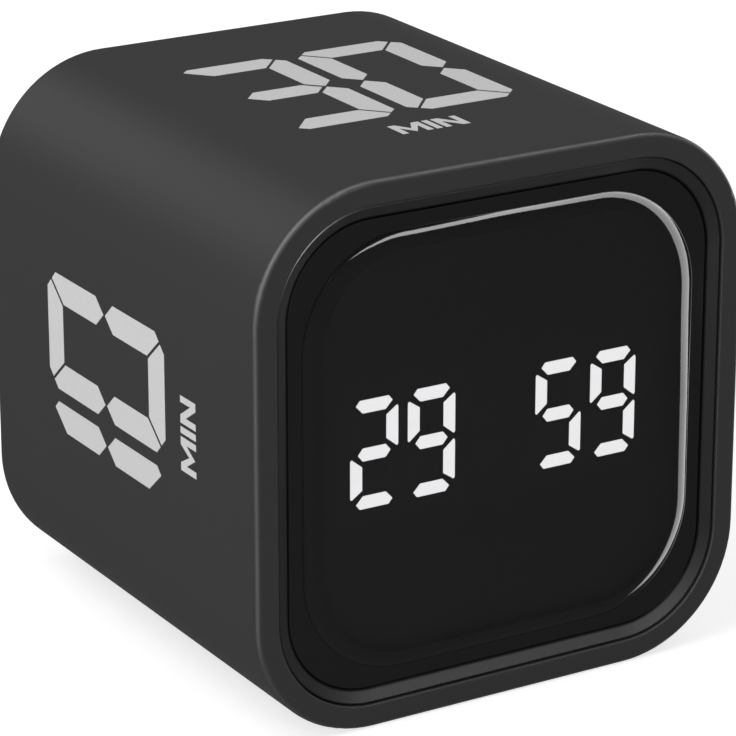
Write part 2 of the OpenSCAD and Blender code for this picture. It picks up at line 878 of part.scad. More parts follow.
// Middle of each stroke, for its light chip
function segment_middle_at(letter) =
    letter == "a" ? [0, digit_h / 2 - segment_t / 2] :
    letter == "d" ? [0, segment_t / 2 - digit_h / 2] :
    letter == "g" ? [0, 0] :
    [(letter == "b" || letter == "c" ? 1 : -1) * (digit_w - segment_t) / 2,
     (letter == "b" || letter == "f" ? 1 : -1) * digit_h / 4];
function digit_x(k) = (k < 2 ? -pair_pitch : pair_pitch) / 2 + (k % 2 == 0 ? -digit_pitch : digit_pitch) / 2;

// Outlines of the display strokes that are lit, or of those that aren't
module segment_outlines(lit) {
    for (k = [0:3], letter = SEGMENTS)
        if (has_stroke(DIGITS[k], letter) == lit)
            translate([digit_x(k), 0])
                stroke_at(letter) {
                    segment_top();
                    segment_side();
                    segment_middle();
                }
}

module dot_outlines() {
    for (side = [-1, 1])
        translate([0, side * dot_pitch / 2])
            circle(dot_r);
}

module display_block() {
    color("#141414")
        in_case()
            difference() {
                between(z_display, z_block)
                    square([block_w, block_h], center = true);
                between(z_display - over, z_block + over) {
                    segment_outlines(true);
                    segment_outlines(false);
                    dot_outlines();
                }
            }
}

module segments_lit() {
    color("#f2f2f2")
        in_case()
            between(z_display + chip_h + chip_air, z_block)
                segment_outlines(true);
}

module segments_unlit() {
    color("#1e1e1e")
        in_case()
            between(z_display + chip_h + chip_air, z_block) {
                segment_outlines(false);
                dot_outlines();
            }
}

module display_lights() {
    size = [chip_w, chip_w, chip_h];
    color("#e8e4c8")
        in_case() {
            for (k = [0:3], letter = SEGMENTS)
                chip([digit_x(k), 0] + segment_middle_at(letter), size, z_display);
            for (side = [-1, 1])
                chip([0, side * dot_pitch / 2], size, z_display);
        }
}

module display_board() {
    color("#0f4a2c")
        in_case()
            difference() {
                between(z_display_back, z_display)
                    round_square(display_half, display_r);
                at_corners(boss_at)
                    rod(screw_r + pass_gap, z_display_back - over, z_display + over);
            }
}

module display_driver() {
    color("#202020")
        in_case()
            chip(driver_at, driver_size, z_display_back - driver_size[2]);
}

// Ribbon socket with its slot, from level z0 to z1, with the mouth at level mouth
module ribbon_socket_at(z0, z1, mouth) {
    slot = [ribbon_w + 2 * ribbon_gap, ribbon_t + 2 * ribbon_gap];
    color("#d8d2c0")
        in_case()
            translate([0, ribbon_y, 0])
                difference() {
                    between(z0, z1)
                        square([ribbon_w + 2 * socket_side, socket_w], center = true);
                    between(mouth - ribbon_in, mouth + ribbon_in)
                        square(slot, center = true);
                }
}

module display_socket() {
    ribbon_socket_at(z_display_back - socket_h, z_display_back, z_display_back - socket_h);
}

module main_socket() {
    ribbon_socket_at(z_main, z_main + socket_h, z_main + socket_h);
}

// Ribbon lead: a flat strip from socket to socket with a bow for slack
module ribbon_lead() {
    z_top = z_display_back - socket_h + ribbon_in;
    z_low = z_main + socket_h - ribbon_in;
    steps = 24;
    sag = function (t) -ribbon_bow * pow(sin(180 * t), 4);
    bow = [for (k = [0:steps]) [z_low + (z_top - z_low) * k / steps, sag(k / steps)]];
    front = [for (p = bow) p + [0, ribbon_t / 2]];
    rear = [for (k = [steps:-1:0]) bow[k] - [0, ribbon_t / 2]];
    color("#c9c4b4")
        in_case()
            translate([0, ribbon_y, 0])
                rotate([0, -90, 0])
                    linear_extrude(height = ribbon_w, center = true)
                        polygon(concat(front, rear));
}

module display_screws() {
    color("#9a9a9a")
        in_case()
            at_corners(boss_at)
                screw(screw_r, screw_head_r, screw_head_h, screw_l, z_display_back, 1);
}

// Cradle for the motor: a block with a round trough along x
module motor_cradle() {
    difference() {
        translate([motor_x - cradle_l / 2, motor_y - cradle_half, z_frame_back - cradle_depth])
            cube([cradle_l, 2 * cradle_half, cradle_depth + frame_t / 2]);
        along_motor(-cradle_l, cradle_l)
            circle(cradle_r);
    }
}

// Prism along the motor's axis, between two distances from the middle of the can
module along_motor(x0, x1) {
    translate([motor_x, motor_y, motor_z])
        rotate([0, 90, 0])
            between(x0, x1)
                children();
}

module inner_frame() {
    wall_w = tray_w + 2 * tray_t;
    wall_h = tray_in_h + 2 * tray_t;
    lead_notch = 2 * plug_pitch + 2 * lead_r;
    color("#2b2b2d")
        in_case()
            difference() {
                union() {
                    between(z_frame_back, z_frame)
                        round_square(frame_half, frame_r);
                    between(z_frame_back - tray_h, z_frame_back + frame_t / 2)
                        difference() {
                            square([wall_w, wall_h], center = true);
                            square([tray_w, tray_in_h], center = true);
                        }
                    motor_cradle();
                }
                at_corners(post_at)
                    rod(screw_r + pass_gap, z_frame_back - over, z_frame + over);
                translate([0, ribbon_y, 0])
                    between(z_frame_back - over, z_frame + over)
                        square([ribbon_w + 2 * ribbon_pass, ribbon_t + 2 * ribbon_pass], center = true);
                translate([tray_w / 2 - over, plug_at[1] - lead_notch / 2, z_frame_back - tray_h - over])
                    cube([tray_t + 2 * over, lead_notch, tray_h + over]);
            }
}

module frame_screws() {
    color("#9a9a9a")
        in_case()
            at_corners(post_at)
                screw(screw_r, screw_head_r, screw_head_h, screw_l, z_frame, -1);
}

module battery() {
    x = battery_t / 2 - battery_round;
    y = battery_h / 2 - battery_round;
    color("#7c868c")
        in_case()
            translate([0, 0, z_battery])
                rotate([0, 90, 0])
                    linear_extrude(height = battery_w, center = true) {
                        square([battery_t, battery_h - 2 * battery_round], center = true);
                        square([battery_t - 2 * battery_round, battery_h], center = true);
                        for (sx = [-1, 1], sy = [-1, 1])
                            translate([sx * x, sy * y])
                                circle(battery_round);
                    }
}

module battery_pad() {
    color("#e6e0b8")
        in_case()
            between(z_frame_back - pad_t, z_frame_back)
                square([battery_w - 2 * pad_inset, battery_h - 2 * pad_inset], center = true);
}

// Quarter bend of a lead in the x-z plane, about (x, z), from angle a0
module lead_elbow(x, z, a0, r) {
    rotate([90, 0, 0])
        translate([x, z, 0])
            rotate([0, 0, a0])
                rotate_extrude(angle = 90)
                    translate([lead_bend, 0])
                        circle(r);
}

// Straight stretch of a lead along x
module lead_level(x0, x1, z, r) {
    translate([x0, 0, z])
        rotate([0, 90, 0])
            cylinder(r = r, h = x1 - x0);
}

// Battery lead: out of the battery's end, down past the tray and into the plug
module battery_lead(y) {
    x_bend = battery_w / 2 + lead_start;
    z_plug = z_main + plug_size[2] / 2;
    in_case()
        translate([0, y, 0]) {
            lead_level(battery_w / 2, x_bend, z_battery, lead_r);
            lead_elbow(x_bend, z_battery - lead_bend, 0, lead_r);
            translate([x_bend + lead_bend, 0, 0])
                rod(lead_r, z_plug + lead_bend, z_battery - lead_bend);
            lead_elbow(x_bend, z_plug + lead_bend, -90, lead_r);
            lead_level(plug_at[0] + plug_size[0] / 2, x_bend, z_plug, lead_r);
        }
}

module battery_lead_red() {
    color("#b02020")
        battery_lead(plug_at[1] + plug_pitch / 2);
}

module battery_lead_black() {
    color("#181818")
        battery_lead(plug_at[1] - plug_pitch / 2);
}

module battery_plug() {
    color("#e4e0d4")
        in_case()
            chip(plug_at, plug_size, z_main);
}

module motor_can() {
    color("#b8babc")
        in_case()
            difference() {
                along_motor(-motor_l / 2, motor_l / 2)
                    circle(motor_r);
                along_motor(motor_l / 2 - shaft_in - pilot_spare, motor_l / 2 + over)
                    circle(shaft_r + shaft_gap);
            }
}

module motor_boot() {
    color("#232323")
        in_case()
            along_motor(-cradle_l / 2, cradle_l / 2)
                difference() {
                    circle(motor_r + boot_t);
                    circle(motor_r);
                }
}

module motor_leads() {
    x_bend = motor_x - motor_l / 2 - lead_start;
    color("#3050a0")
        in_case()
            for (side = [-1, 1])
                translate([0, motor_y + side * motor_r / 3, 0]) {
                    lead_level(x_bend, motor_x - motor_l / 2, motor_z, motor_lead_r);
                    lead_elbow(x_bend, motor_z - lead_bend, 90, motor_lead_r);
                    translate([x_bend - lead_bend, 0, 0])
                        rod(motor_lead_r, z_main, motor_z - lead_bend);
                }
}

module motor_shaft() {
    color("#d0d2d4")
        in_case()
            along_motor(motor_l / 2 - shaft_in, motor_l / 2 + shaft_out)
                circle(shaft_r);
}

// Eccentric weight: a half disc on a hub, hanging down at rest
module motor_weight() {
    color("#8c8880")
        in_case()
            along_motor(weight_start - motor_x, weight_start - motor_x + weight_l)
                difference() {
                    union() {
                        circle(weight_hub_r);
                        intersection() {
                            circle(weight_r);
                            translate([-weight_r, -weight_r])
                                square([2 * weight_r, weight_r]);
                        }
                    }
                    circle(shaft_r);
                }
}

// Places of the four standoffs
module at_standoffs() {
    for (x = [-standoff_x, standoff_x], y = [standoff_low, standoff_top])
        translate([x, y, 0])
            children();
}

module main_board() {
    color("#0f4a2c")
        in_case()
            difference() {
                between(z_main_rear, z_main)
                    square([main_w, main_h], center = true);
                at_standoffs()
                    rod(screw_r + pass_gap, z_main_rear - over, z_main + over);
            }
}

module board_screws() {
    color("#9a9a9a")
        in_case()
            at_standoffs()
                screw(screw_r, screw_head_r, screw_head_h, screw_l, z_main, -1);
}

module controller() {
    color("#1c1c1e")
        in_case()
            chip(controller_at, controller_size, z_main);
}

module motion_sensor() {
    color("#2a2a2c")
        in_case()
            chip(motion_at, motion_size, z_main);
}

module charge_controller() {
    color("#1c1c1e")
        in_case()
            chip(charger_at, charger_size, z_main);
}

module small_parts() {
    color("#a08868")
        in_case()
            for (place = SMALL_PARTS)
                chip(place, small_size, z_main);
}

module sounder() {
    z_face = z_main_rear - sounder_h;
    color("#161616")
        in_case()
            translate([sounder_x, sounder_y, 0])
                difference() {
                    rod(sounder_r, z_face, z_main_rear);
                    rod(sounder_hole_r, z_face - over, z_face + sounder_hole_d);
                }
}

module sounder_gasket() {
    color("#303030")
        in_case()
            translate([sounder_x, sounder_y, 0])
                between(z_cover_in, z_main_rear - sounder_h)
                    difference() {
                        circle(sounder_r - gasket_inset);
                        circle(sounder_r - gasket_inset - gasket_w);
                    }
}

// The three button places
module at_button(k) {
    translate([(k - 1) * button_pitch, button_y, 0])
        children();
}

module key_switches() {
    well = plunger_in + button_travel + pilot_spare;
    color("#26282a")
        in_case()
            for (k = [0:2])
                at_button(k)
                    difference() {
                        between(z_key, z_main_rear)
                            square(key_w, center = true);
                        rod(plunger_r + plunger_gap, z_key - over, z_key + well);
                    }
}

module plunger(k) {
    color("#d8d8d4")
        in_case()
            at_button(k)
                rod(plunger_r, z_plunger, z_key + plunger_in);
}

// Button: a dished cap in the cover's hole, a collar behind the cover and a stem down to the plunger
module button(k) {
    dish_r = (button_r * button_r + dish_d * dish_d) / (2 * dish_d);
    color("#4a4a4c")
        in_case()
            at_button(k)
                difference() {
                    union() {
                        rod(button_r, z_button, z_collar + collar_t);
                        rod(collar_r, z_collar, z_collar + collar_t);
                        rod(stem_r, z_collar, z_plunger);
                    }
                    translate([0, 0, z_button + dish_d - dish_r])
                        sphere(dish_r, $fn = 128);
                }
}

module slide_switch() {
    color("#b4b6b8")
        in_case()
            translate([0, slide_y, 0])
                difference() {
                    between(z_key, z_main_rear)
                        square([slide_body_l, slide_body_w], center = true);
                    between(z_key - over, z_key + slide_post_in + pilot_spare)
                        square([post_slot_l, slide_post_w + 2 * knob_gap], center = true);
                }
}

module slide_post() {
    color("#e2e2de")
        in_case()
            translate([0, slide_y, 0])
                between(z_slider + slider_t / 2, z_key + slide_post_in)
                    square(slide_post_w, center = true);
}

// Slider: a plate behind the cover with a ribbed knob in the slot
module mode_slider() {
    groove_step = knob_l / knob_ribs;
    color("#4a4a4c")
        in_case()
            translate([0, slide_y, 0])
                difference() {
                    union() {
                        between(z_slider, z_slider + slider_t)
                            square([slider_l, slider_w], center = true);
                        between(z_button, z_slider + slider_t)
                            square([knob_l, knob_w], center = true);
                    }
                    between(z_slider + slider_t / 2, z_slider + slider_t + over)
                        square(slide_post_w, center = true);
                    for (k = [1:knob_ribs - 1])
                        translate([k * groove_step - knob_l / 2, 0, z_button - over])
                            between(0, over + rib_depth)
                                square([rib_groove, knob_w + over], center = true);
                }
}

module usb_shell() {
    color("#b9bbbd")
        in_case()
            translate([0, usb_y, 0])
                difference() {
                    between(z_usb, z_main_rear)
                        slot_outline(usb_w, usb_h);
                    between(z_usb - over, z_usb + usb_depth)
                        slot_outline(usb_w - 2 * usb_wall, usb_h - 2 * usb_wall);
                }
}

module usb_tongue() {
    color("#1a1a1a")
        in_case()
            translate([0, usb_y, 0])
                between(z_usb + tongue_inset, z_usb + usb_depth)
                    square([tongue_w, tongue_t], center = true);
}

module charge_light() {
    color("#f0e8c0")
        in_case()
            chip([pipe_x, usb_y], charge_light_size, z_main_rear - charge_light_size[2]);
}

// Light pipe: a rod through the cover with a collar behind it
module light_pipe() {
    color("#d8dcdc")
        in_case()
            translate([pipe_x, usb_y, 0]) {
                rod(pipe_r, z_cover, z_main_rear - charge_light_size[2] - chip_air);
                rod(pipe_r + collar_w, z_cover_in, z_cover_in + collar_t);
            }
}

module rear_cover() {
    pass_r = cover_screw_r + pass_gap;
    rail_at = slider_w / 2 + knob_gap;
    board_pilot = screw_l - board_t + pilot_spare;
    color("#3a3a3b")
        in_case()
            difference() {
                union() {
                    between(z_cover, z_cover_in)
                        round_square(cover_half, cover_r);
                    at_corners(post_at)
                        rod(cover_boss_r, z_cover_in - cover_t / 2, z_boss_end);
                    at_standoffs()
                        rod(standoff_r, z_cover_in - cover_t / 2, z_main_rear);
                    for (side = [-1, 1])
                        translate([0, slide_y + side * (rail_at + rail_t / 2), 0])
                            between(z_cover_in - cover_t / 2, z_slider + slider_t)
                                square([slider_l + 2 * slide_travel, rail_t], center = true);
                }
                at_corners(post_at) {
                    rod(pass_r, z_cover - over, z_boss_end + over);
                    rod(cover_head_r + pass_gap, z_cover - over, z_cover + head_pocket);
                }
                at_standoffs()
                    rod(screw_r + thread_gap, z_main_rear - board_pilot, z_main_rear + over);
                for (k = [0:2])
                    at_button(k)
                        rod(button_hole_r, z_cover - over, z_cover_in + over);
                translate([0, slide_y, 0])
                    between(z_cover - over, z_cover_in + over)
                        square([knob_slot_l, knob_w + 2 * knob_gap], center = true);
                translate([0, usb_y, 0])
                    between(z_cover - over, z_cover_in + over)
                        slot_outline(usb_w + 2 * usb_gap, usb_h + 2 * usb_gap);
                translate([pipe_x, usb_y, 0])
                    rod(pipe_r, z_cover - over, z_cover_in + over);
                translate([sounder_x, sounder_y, 0]) {
                    rod(sound_hole_r, z_cover - over, z_cover_in + over);
                    for (turn = [0:60:300])
                        rotate([0, 0, turn])
                            translate([sound_ring_r, 0, 0])
                                rod(sound_hole_r, z_cover - over, z_cover_in + over);
                }
            }
}

module cover_screws() {
    color("#8e9092")
        in_case()
            at_corners(post_at)
                screw(cover_screw_r, cover_head_r, cover_head_h, cover_screw_l, z_cover + head_pocket, 1);
}

outer_shell();
numerals(TOP);  // numerals_top
numerals(LEFT);  // numerals_left
numerals(RIGHT);  // numerals_right
numerals(BOTTOM);  // numerals_bottom
front_bezel();
window_tape();
display_window();
display_block();
segments_lit();
segments_unlit();
display_lights();
display_board();
display_driver();
display_socket();
display_screws();
ribbon_lead();
inner_frame();
frame_screws();
battery();
battery_pad();
battery_lead_red();
battery_lead_black();
battery_plug();
motor_can();
motor_boot();
motor_leads();
motor_shaft();
motor_weight();
main_board();
board_screws();
controller();
motion_sensor();
charge_controller();
small_parts();
main_socket();
sounder();
sounder_gasket();
key_switches();
plunger(0);  // minute_plunger
plunger(1);  // second_plunger
plunger(2);  // start_plunger
button(0);  // minute_button
button(1);  // second_button
button(2);  // start_button
slide_switch();
slide_post();
mode_slider();
usb_shell();
usb_tongue();
charge_light();
light_pipe();
rear_cover();
cover_screws();
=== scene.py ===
"""Looks of the cube timer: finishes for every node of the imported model, the pieces that are drawn
as surfaces, and the stage."""

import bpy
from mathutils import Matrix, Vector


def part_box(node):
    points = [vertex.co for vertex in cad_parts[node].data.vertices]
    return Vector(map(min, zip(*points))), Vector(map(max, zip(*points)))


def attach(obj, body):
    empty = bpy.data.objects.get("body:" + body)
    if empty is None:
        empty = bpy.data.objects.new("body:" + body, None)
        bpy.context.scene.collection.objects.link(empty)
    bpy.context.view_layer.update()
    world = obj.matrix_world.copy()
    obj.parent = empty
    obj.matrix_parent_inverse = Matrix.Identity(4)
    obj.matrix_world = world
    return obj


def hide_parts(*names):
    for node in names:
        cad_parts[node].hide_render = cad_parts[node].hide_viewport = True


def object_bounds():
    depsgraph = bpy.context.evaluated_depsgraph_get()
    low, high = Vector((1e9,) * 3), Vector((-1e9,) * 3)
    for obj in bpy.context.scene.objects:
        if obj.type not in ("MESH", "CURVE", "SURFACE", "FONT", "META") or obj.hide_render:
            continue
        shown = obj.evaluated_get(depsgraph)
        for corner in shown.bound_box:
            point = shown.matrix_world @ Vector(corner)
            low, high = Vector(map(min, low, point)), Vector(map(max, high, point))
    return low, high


bl_info = {
    "name": "Cube timer looks",
    "version": (1, 0, 0),
    "blender": (4, 5, 0),
    "location": "3D View > Sidebar > Cube timer",
    "description": "Dresses the packed cube timer and builds its stage",
    "category": "Object",
}

import math

import bpy
import numpy as np
from bpy.props import FloatProperty, FloatVectorProperty, IntProperty, PointerProperty
from mathutils import Vector

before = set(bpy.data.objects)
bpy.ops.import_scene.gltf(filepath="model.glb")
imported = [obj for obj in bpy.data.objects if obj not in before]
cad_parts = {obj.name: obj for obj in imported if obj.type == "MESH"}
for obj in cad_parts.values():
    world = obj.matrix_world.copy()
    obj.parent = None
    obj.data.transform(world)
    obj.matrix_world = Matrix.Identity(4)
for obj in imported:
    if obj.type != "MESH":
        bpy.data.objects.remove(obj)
CAD_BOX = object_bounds()
MM = 0.001
CENTRE_Z = (CAD_BOX[0].z + CAD_BOX[1].z) / 2
FRONT, REAR = -1, 1
# Faces that meet at more than this angle keep a sharp edge between them
SHARP_ANGLE = math.radians(35)
SENSOR_WIDTH = 36

# The foot of the window's rise is followed on a way from 0 to 6: up the left side, round a corner, along
# the top, round a corner, down the right side and round a corner. At each whole number of that way, these
# are the angle that the foot faces, in degrees, and the side of the window's middle where the corner's
# centre lies, across and up
WAY_FACES = (180, 180, 90, 90, 0, 0, -90)
WAY_ACROSS = (-1, -1, -1, 1, 1, 1, 1)
WAY_UP = (-1, 1, 1, 1, 1, -1, -1)
# The strip lamp as the window shows it: a place on that way, how far in from the foot the strip starts and
# ends there, in millimetres, and its share of the light
STRIP = (
    (1.62, 0.17, 0.18, 1),
    (1.8, 0.28, 0.48, 1),
    (2, 0.23, 0.57, 1),
    (2.5, 0.05, 0.37, 1),
    (3, 0.03, 0.45, 0.77),
    (3.3, 0.05, 0.82, 0.52),
    (3.5, 0.2, 1.2, 0.47),
    (3.7, 0.5, 1.57, 0.46),
    (3.9, 0.72, 1.75, 0.5),
    (4.1, 0.72, 1.77, 0.5),
    (4.5, 0.5, 1.58, 0.35),
    (5, 0.48, 1.49, 0.36),
    (5.3, 0.69, 1.45, 0.4),
    (5.6, 0.83, 1.19, 0.4),
    (5.75, 0.94, 1, 0.1),
)
STRIP_STEPS, STRIP_ROWS = 121, 7
# The strip stops where a mirrored line has lost this share of its height over the floor. A line that falls
# by less than LEAST_FALL counts as level
STRIP_FALL, LEAST_FALL = 0.8, 1e-6

# Where each soft box stands, as a direction from the object's middle: right, back and up
BOXES = {
    "key": (-0.56, -0.19, 0.81),
    "left": (-0.95, -0.1, 0.3),
    "front": (0, -1, 0.25),
    "window": (-0.7, -1, -0.15),
    "back": (-0.34, 0.81, 0.49),
    "high": (0.6, -0.2, 0.8),
    "right": (1, 0.1, 0.05),
    "rear": (0.15, 1, 0.05),
    "low": (0.3, -0.86, 0.42),
    "lip": (-0.5, -0.45, 0.74),
}
# The same for the gloss of the case's front edge, each with its share of the edge power. The first stands
# for the pale floor, so it is low
EDGE_BOXES = (
    ((-0.81, -0.49, -0.34), 0.34),
    ((-0.79, -0.58, 0.2), 0.7),
    ((-0.5, -0.58, 0.64), 0.7),
    ((0, -0.5, 0.87), 0.85),
    ((0.49, -0.34, 0.81), 0.12),
)


def linear(hex_colour):
    """Linear red, green, blue and alpha of an sRGB hex colour, by the standard's own curve."""
    srgb = np.array([int(hex_colour[i:i + 2], 16) for i in (1, 3, 5)]) / 255
    rgb = np.where(srgb <= 0.04045, srgb / 12.92, ((srgb + 0.055) / 1.055) ** 2.4)
    return (*rgb.tolist(), 1.0)


def colour_property(name, description, hex_colour):
    """A colour that the user can change, with its default as sRGB hex."""
    return FloatVectorProperty(
        name=name, description=description, subtype="COLOR", size=4, min=0, max=1,
        default=linear(hex_colour),
    )


def length_property(name, description, millimetres):
    """A length that the user can change, with its default in millimetres."""
    return FloatProperty(
        name=name, description=description, unit="LENGTH", subtype="DISTANCE", default=millimetres * MM,
        precision=5,
    )


def angle_property(name, description, degrees):
    """An angle that the user can change, with its default in degrees."""
    return FloatProperty(
        name=name, description=description, subtype="ANGLE", default=math.radians(degrees)
    )


def power_property(name, description, watts):
    """A lamp's power that the user can change."""
    return FloatProperty(name=name, description=description, unit="POWER", default=watts)


def strength_property(name, description, strength):
    """A strength of light that the user can change."""
    return FloatProperty(name=name, description=description, min=0, default=strength)


class CaseLooks(bpy.types.PropertyGroup):
    """Colours of the outside, and where painted shade darkens the bezel."""

    shell: colour_property("Case", "Soft-touch paint on the case", "#3B3B3C")
    ink: colour_property("Print", "Ink of the numerals and unit marks", "#D7D7D7")
    bezel: colour_property("Bezel", "Satin plastic of the front bezel", "#2A2A2B")
    # Painted shade: between these two depths before the window, the bezel's colour is painted darker, to
    # near black, in place of the shadow in the gap there
    bezel_shade_start: length_property("Bezel fade", "Where the bezel starts to darken, before the window", 0.16)
    bezel_shade_full: length_property("Bezel black", "Where the bezel is black, before the window", 0.06)
    cover: colour_property("Rear cover", "Textured plastic of the rear cover", "#363637")
    button: colour_property("Buttons", "Plastic of the buttons and the slider", "#2A2A2B")


class WindowLooks(bpy.types.PropertyGroup):
    """Sizes and tint of the display window."""

    tint: colour_property("Tint", "Colour of the smoked window", "#2E2E2E")
    edge_tint: colour_property("Edge tint", "Colour of the window's edge, which is solid", "#1F1F1F")
    body: FloatProperty(
        name="Tint strength", description="Share of the light that one face of the window stops",
        subtype="FACTOR", min=0, max=1, default=0.45,
    )
    corner: length_property("Corner", "Corner radius of the window", 9.65)
    band: length_property("Band", "Width of the flat band at the edge", 1.6)
    rise: length_property("Rise", "Width of the rounded rise to the raised middle", 1.9)
    height: length_property("Height", "Height of the raised middle over the band", 0.75)
    foot_corner: length_property("Foot corner", "Corner radius at the foot of the rise", 12)
    print_gap: length_property("Print gap", "Gap between the window and its black back print", 0.01)
    print_depth: length_property("Print depth", "Thickness of the black back print", 0.02)
    print_edge: length_property("Print edge", "Distance of the back print from the window's edge", 1.85)
    print_corner: length_property("Print corner", "Corner radius of the opening in the back print", 1)
    print_lap: length_property("Print lap", "Lap of the back print over the display block", 0.4)


class DisplayLooks(bpy.types.PropertyGroup):
    """Light of the display."""

    lit: colour_property("Lit", "Colour of a lit stroke", "#F4F4F6")
    strength: strength_property("Strength", "Light of a lit stroke", 2.75)


class ButtonLooks(bpy.types.PropertyGroup):
    """Shape of the button caps."""

    cap: length_property("Cap", "Radius of a cap where it shows", 3.8)
    rim: length_property("Rim", "Rounding of a cap's rim", 0.45)
    dish: length_property("Dish", "Depth of the finger dish in a cap", 0.3)
    stem: length_property("Stem", "Radius of the stem behind a cap", 1.5)
    collar_depth: length_property("Collar depth", "From a cap's face to the collar that holds it in", 2.4)
    collar: length_property("Collar", "Thickness of that collar", 0.8)


class StageLooks(bpy.types.PropertyGroup):
    """Camera, lamps and floor."""

    yaw: angle_property("Yaw", "Turn of the camera about the object", -31.064)
    pitch: angle_property("Pitch", "Camera's angle above the floor", 19.698)
    lens: FloatProperty(name="Lens", description="Focal length", unit="CAMERA", default=185.61)
    distance: length_property("Distance", "From the camera to what it aims at", 420.762)
    aim_right: length_property("Aim right", "Aim to the right of the object's middle", 1.1091)
    aim_up: length_property("Aim up", "Aim above the object's middle", -1.9557)
    floor: colour_property("Floor", "Plain pale floor", "#C4C4C4")
    floor_reach: length_property("Floor reach", "From the middle of the floor to its edge", 2000)
    floor_glow: strength_property("Floor glow", "White that the camera adds to the floor", 0.69)
    floor_gleam: strength_property("Floor gleam", "White that gloss and clear pieces see on the floor", 0.8)
    ambient: strength_property("Ambient", "Even light from all round", 0.2)
    lamp_size: length_property("Lamp size", "Side of a soft box", 300)
    lamp_distance: length_property("Lamp distance", "From a soft box to the object's middle", 500)
    key: power_property("Key", "Soft box at the upper left", 0.8)
    left: power_property("Left", "Soft box at the left", 0.9)
    front: power_property("Front", "Soft box in front", 0.6)
    window: power_property("Window", "Soft box for the window, out of its gloss", 1.2)
    high: power_property("High", "Soft box above, at the right", 0.35)
    back: power_property("Back", "Soft box behind, at the left", 0.345)
    rear: power_property("Rear", "Soft box for the rear cover", 0.7)
    right: power_property("Right", "Soft box at the right", 0.6)
    low: power_property("Low", "Soft box in front, for the bezel's gloss", 1.3)
    lip: power_property("Lip", "Soft box for the bezel's edges", 15)
    edge: power_property("Edge", "Soft boxes for the case's edge gloss", 1)
    strip: strength_property("Strip", "Light of the strip that the window mirrors", 40)
    strip_reach: length_property("Strip reach", "Greatest distance from the window to the strip", 100)


# Meshes


def facing(side, u, v, w):
    """Points from across u, up v and out w, as seen from the front or the rear: x = -side u, y = side w."""
    u, v, w = np.broadcast_arrays(u, v, w)
    return np.stack([-side * u, side * w, v + CENTRE_Z], axis=-1)


def round_ring(half_u, half_v, radius, steps):
    """Oblong with round corners: four quarter circles of steps points, each about a centre that lies
    the half width less the radius from the middle lines. Columns of sizes give one ring for each row."""
    corner = np.repeat(np.arange(4), steps)
    angle = np.pi / 2 * (corner + np.tile(np.linspace(0, 1, steps), 4))
    side_u = np.array([1, -1, -1, 1])[corner]
    side_v = np.array([1, 1, -1, -1])[corner]
    u = (half_u - radius) * side_u + radius * np.cos(angle)
    v = (half_v - radius) * side_v + radius * np.sin(angle)
    return u, v


def column(values):
    """A list of sizes as a column, one row for each ring."""
    return np.asarray(values, float)[:, None]


def turned_ring(radius, steps):
    """Circle of steps points about the middle. A column of radii gives one ring for each row."""
    angle = np.linspace(0, 2 * np.pi, steps, endpoint=False)
    return radius * np.cos(angle), radius * np.sin(angle)


def skin(name, points, looped=False):
    """Closed mesh over a grid of points, one row for each ring. The last ring joins the first,
    or each end is capped."""
    rows, around = points.shape[:2]
    index = np.arange(rows * around).reshape(rows, around)
    start = index if looped else index[:-1]
    end = np.roll(index, -1, axis=0) if looped else index[1:]
    quads = np.stack([start, np.roll(start, -1, 1), np.roll(end, -1, 1), end], axis=-1).reshape(-1, 4)
    caps = [] if looped else [index[0, ::-1].tolist(), index[-1].tolist()]
    mesh = bpy.data.meshes.new(name)
    mesh.from_pydata(points.reshape(-1, 3).tolist(), [], quads.tolist() + caps)
    mesh.polygons.foreach_set("use_smooth", np.ones(len(mesh.polygons), bool))
    mesh.set_sharp_from_angle(angle=SHARP_ANGLE)
    mesh.update()
    return mesh


def place(mesh, material, body, slot, *stands_for):
    """Puts a finished piece in the scene: it rides a body and stands for CAD nodes, which it hides. slot is
    not used.
    """
    piece = bpy.data.objects.new(mesh.name, mesh)
    bpy.context.scene.collection.objects.link(piece)
    mesh.materials.append(material)
    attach(piece, body)
    if stands_for:
        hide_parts(*stands_for)
    return piece


def dress(material, *nodes):
    """Gives CAD nodes their finish."""
    for node in nodes:
        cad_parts[node].material_slots[0].material = material


# Materials


def add(owner, kind, inputs=None, **settings):
    """Adds a node to a material or world, sets its settings, and sets or links its inputs."""
    tree = owner.node_tree
    node = tree.nodes.new(kind)
    for name, value in settings.items():
        setattr(node, name, value)
    for name, value in (inputs or {}).items():
        if isinstance(value, bpy.types.NodeSocket):
            tree.links.new(value, node.inputs[name])
        else:
            node.inputs[name].default_value = value
    return node


def start(name):
    """An empty material."""
    material = bpy.data.materials.new(name)
    material.use_nodes = True
    material.node_tree.nodes.clear()
    return material


def shade(colour, factor):
    """A colour made darker or lighter, with its alpha kept."""
    return (*(min(1.0, part * factor) for part in colour[:3]), 1.0)


def edge_gloss(material, normal, flat, worn):
    """Specular level that runs from flat, on the front and the sides, to worn, half-way round the edge
    between them.

    With y the normal's part along the depth, y squared is 0 or 1 on a flat and 0.5 half-way round.
    """
    depth = add(material, "ShaderNodeSeparateXYZ", {"Vector": normal}).outputs["Y"]
    square = add(material, "ShaderNodeMath", {0: depth, 1: depth}, operation="MULTIPLY")
    away = add(material, "ShaderNodeMath", {0: square.outputs[0], 1: 0.5}, operation="SUBTRACT")
    part = add(material, "ShaderNodeMath", {0: away.outputs[0]}, operation="ABSOLUTE")
    level = add(
        material, "ShaderNodeMapRange",
        {"Value": part.outputs[0], "From Min": 0.5, "From Max": 0.0, "To Min": flat, "To Max": worn},
    )
    return level.outputs["Result"]


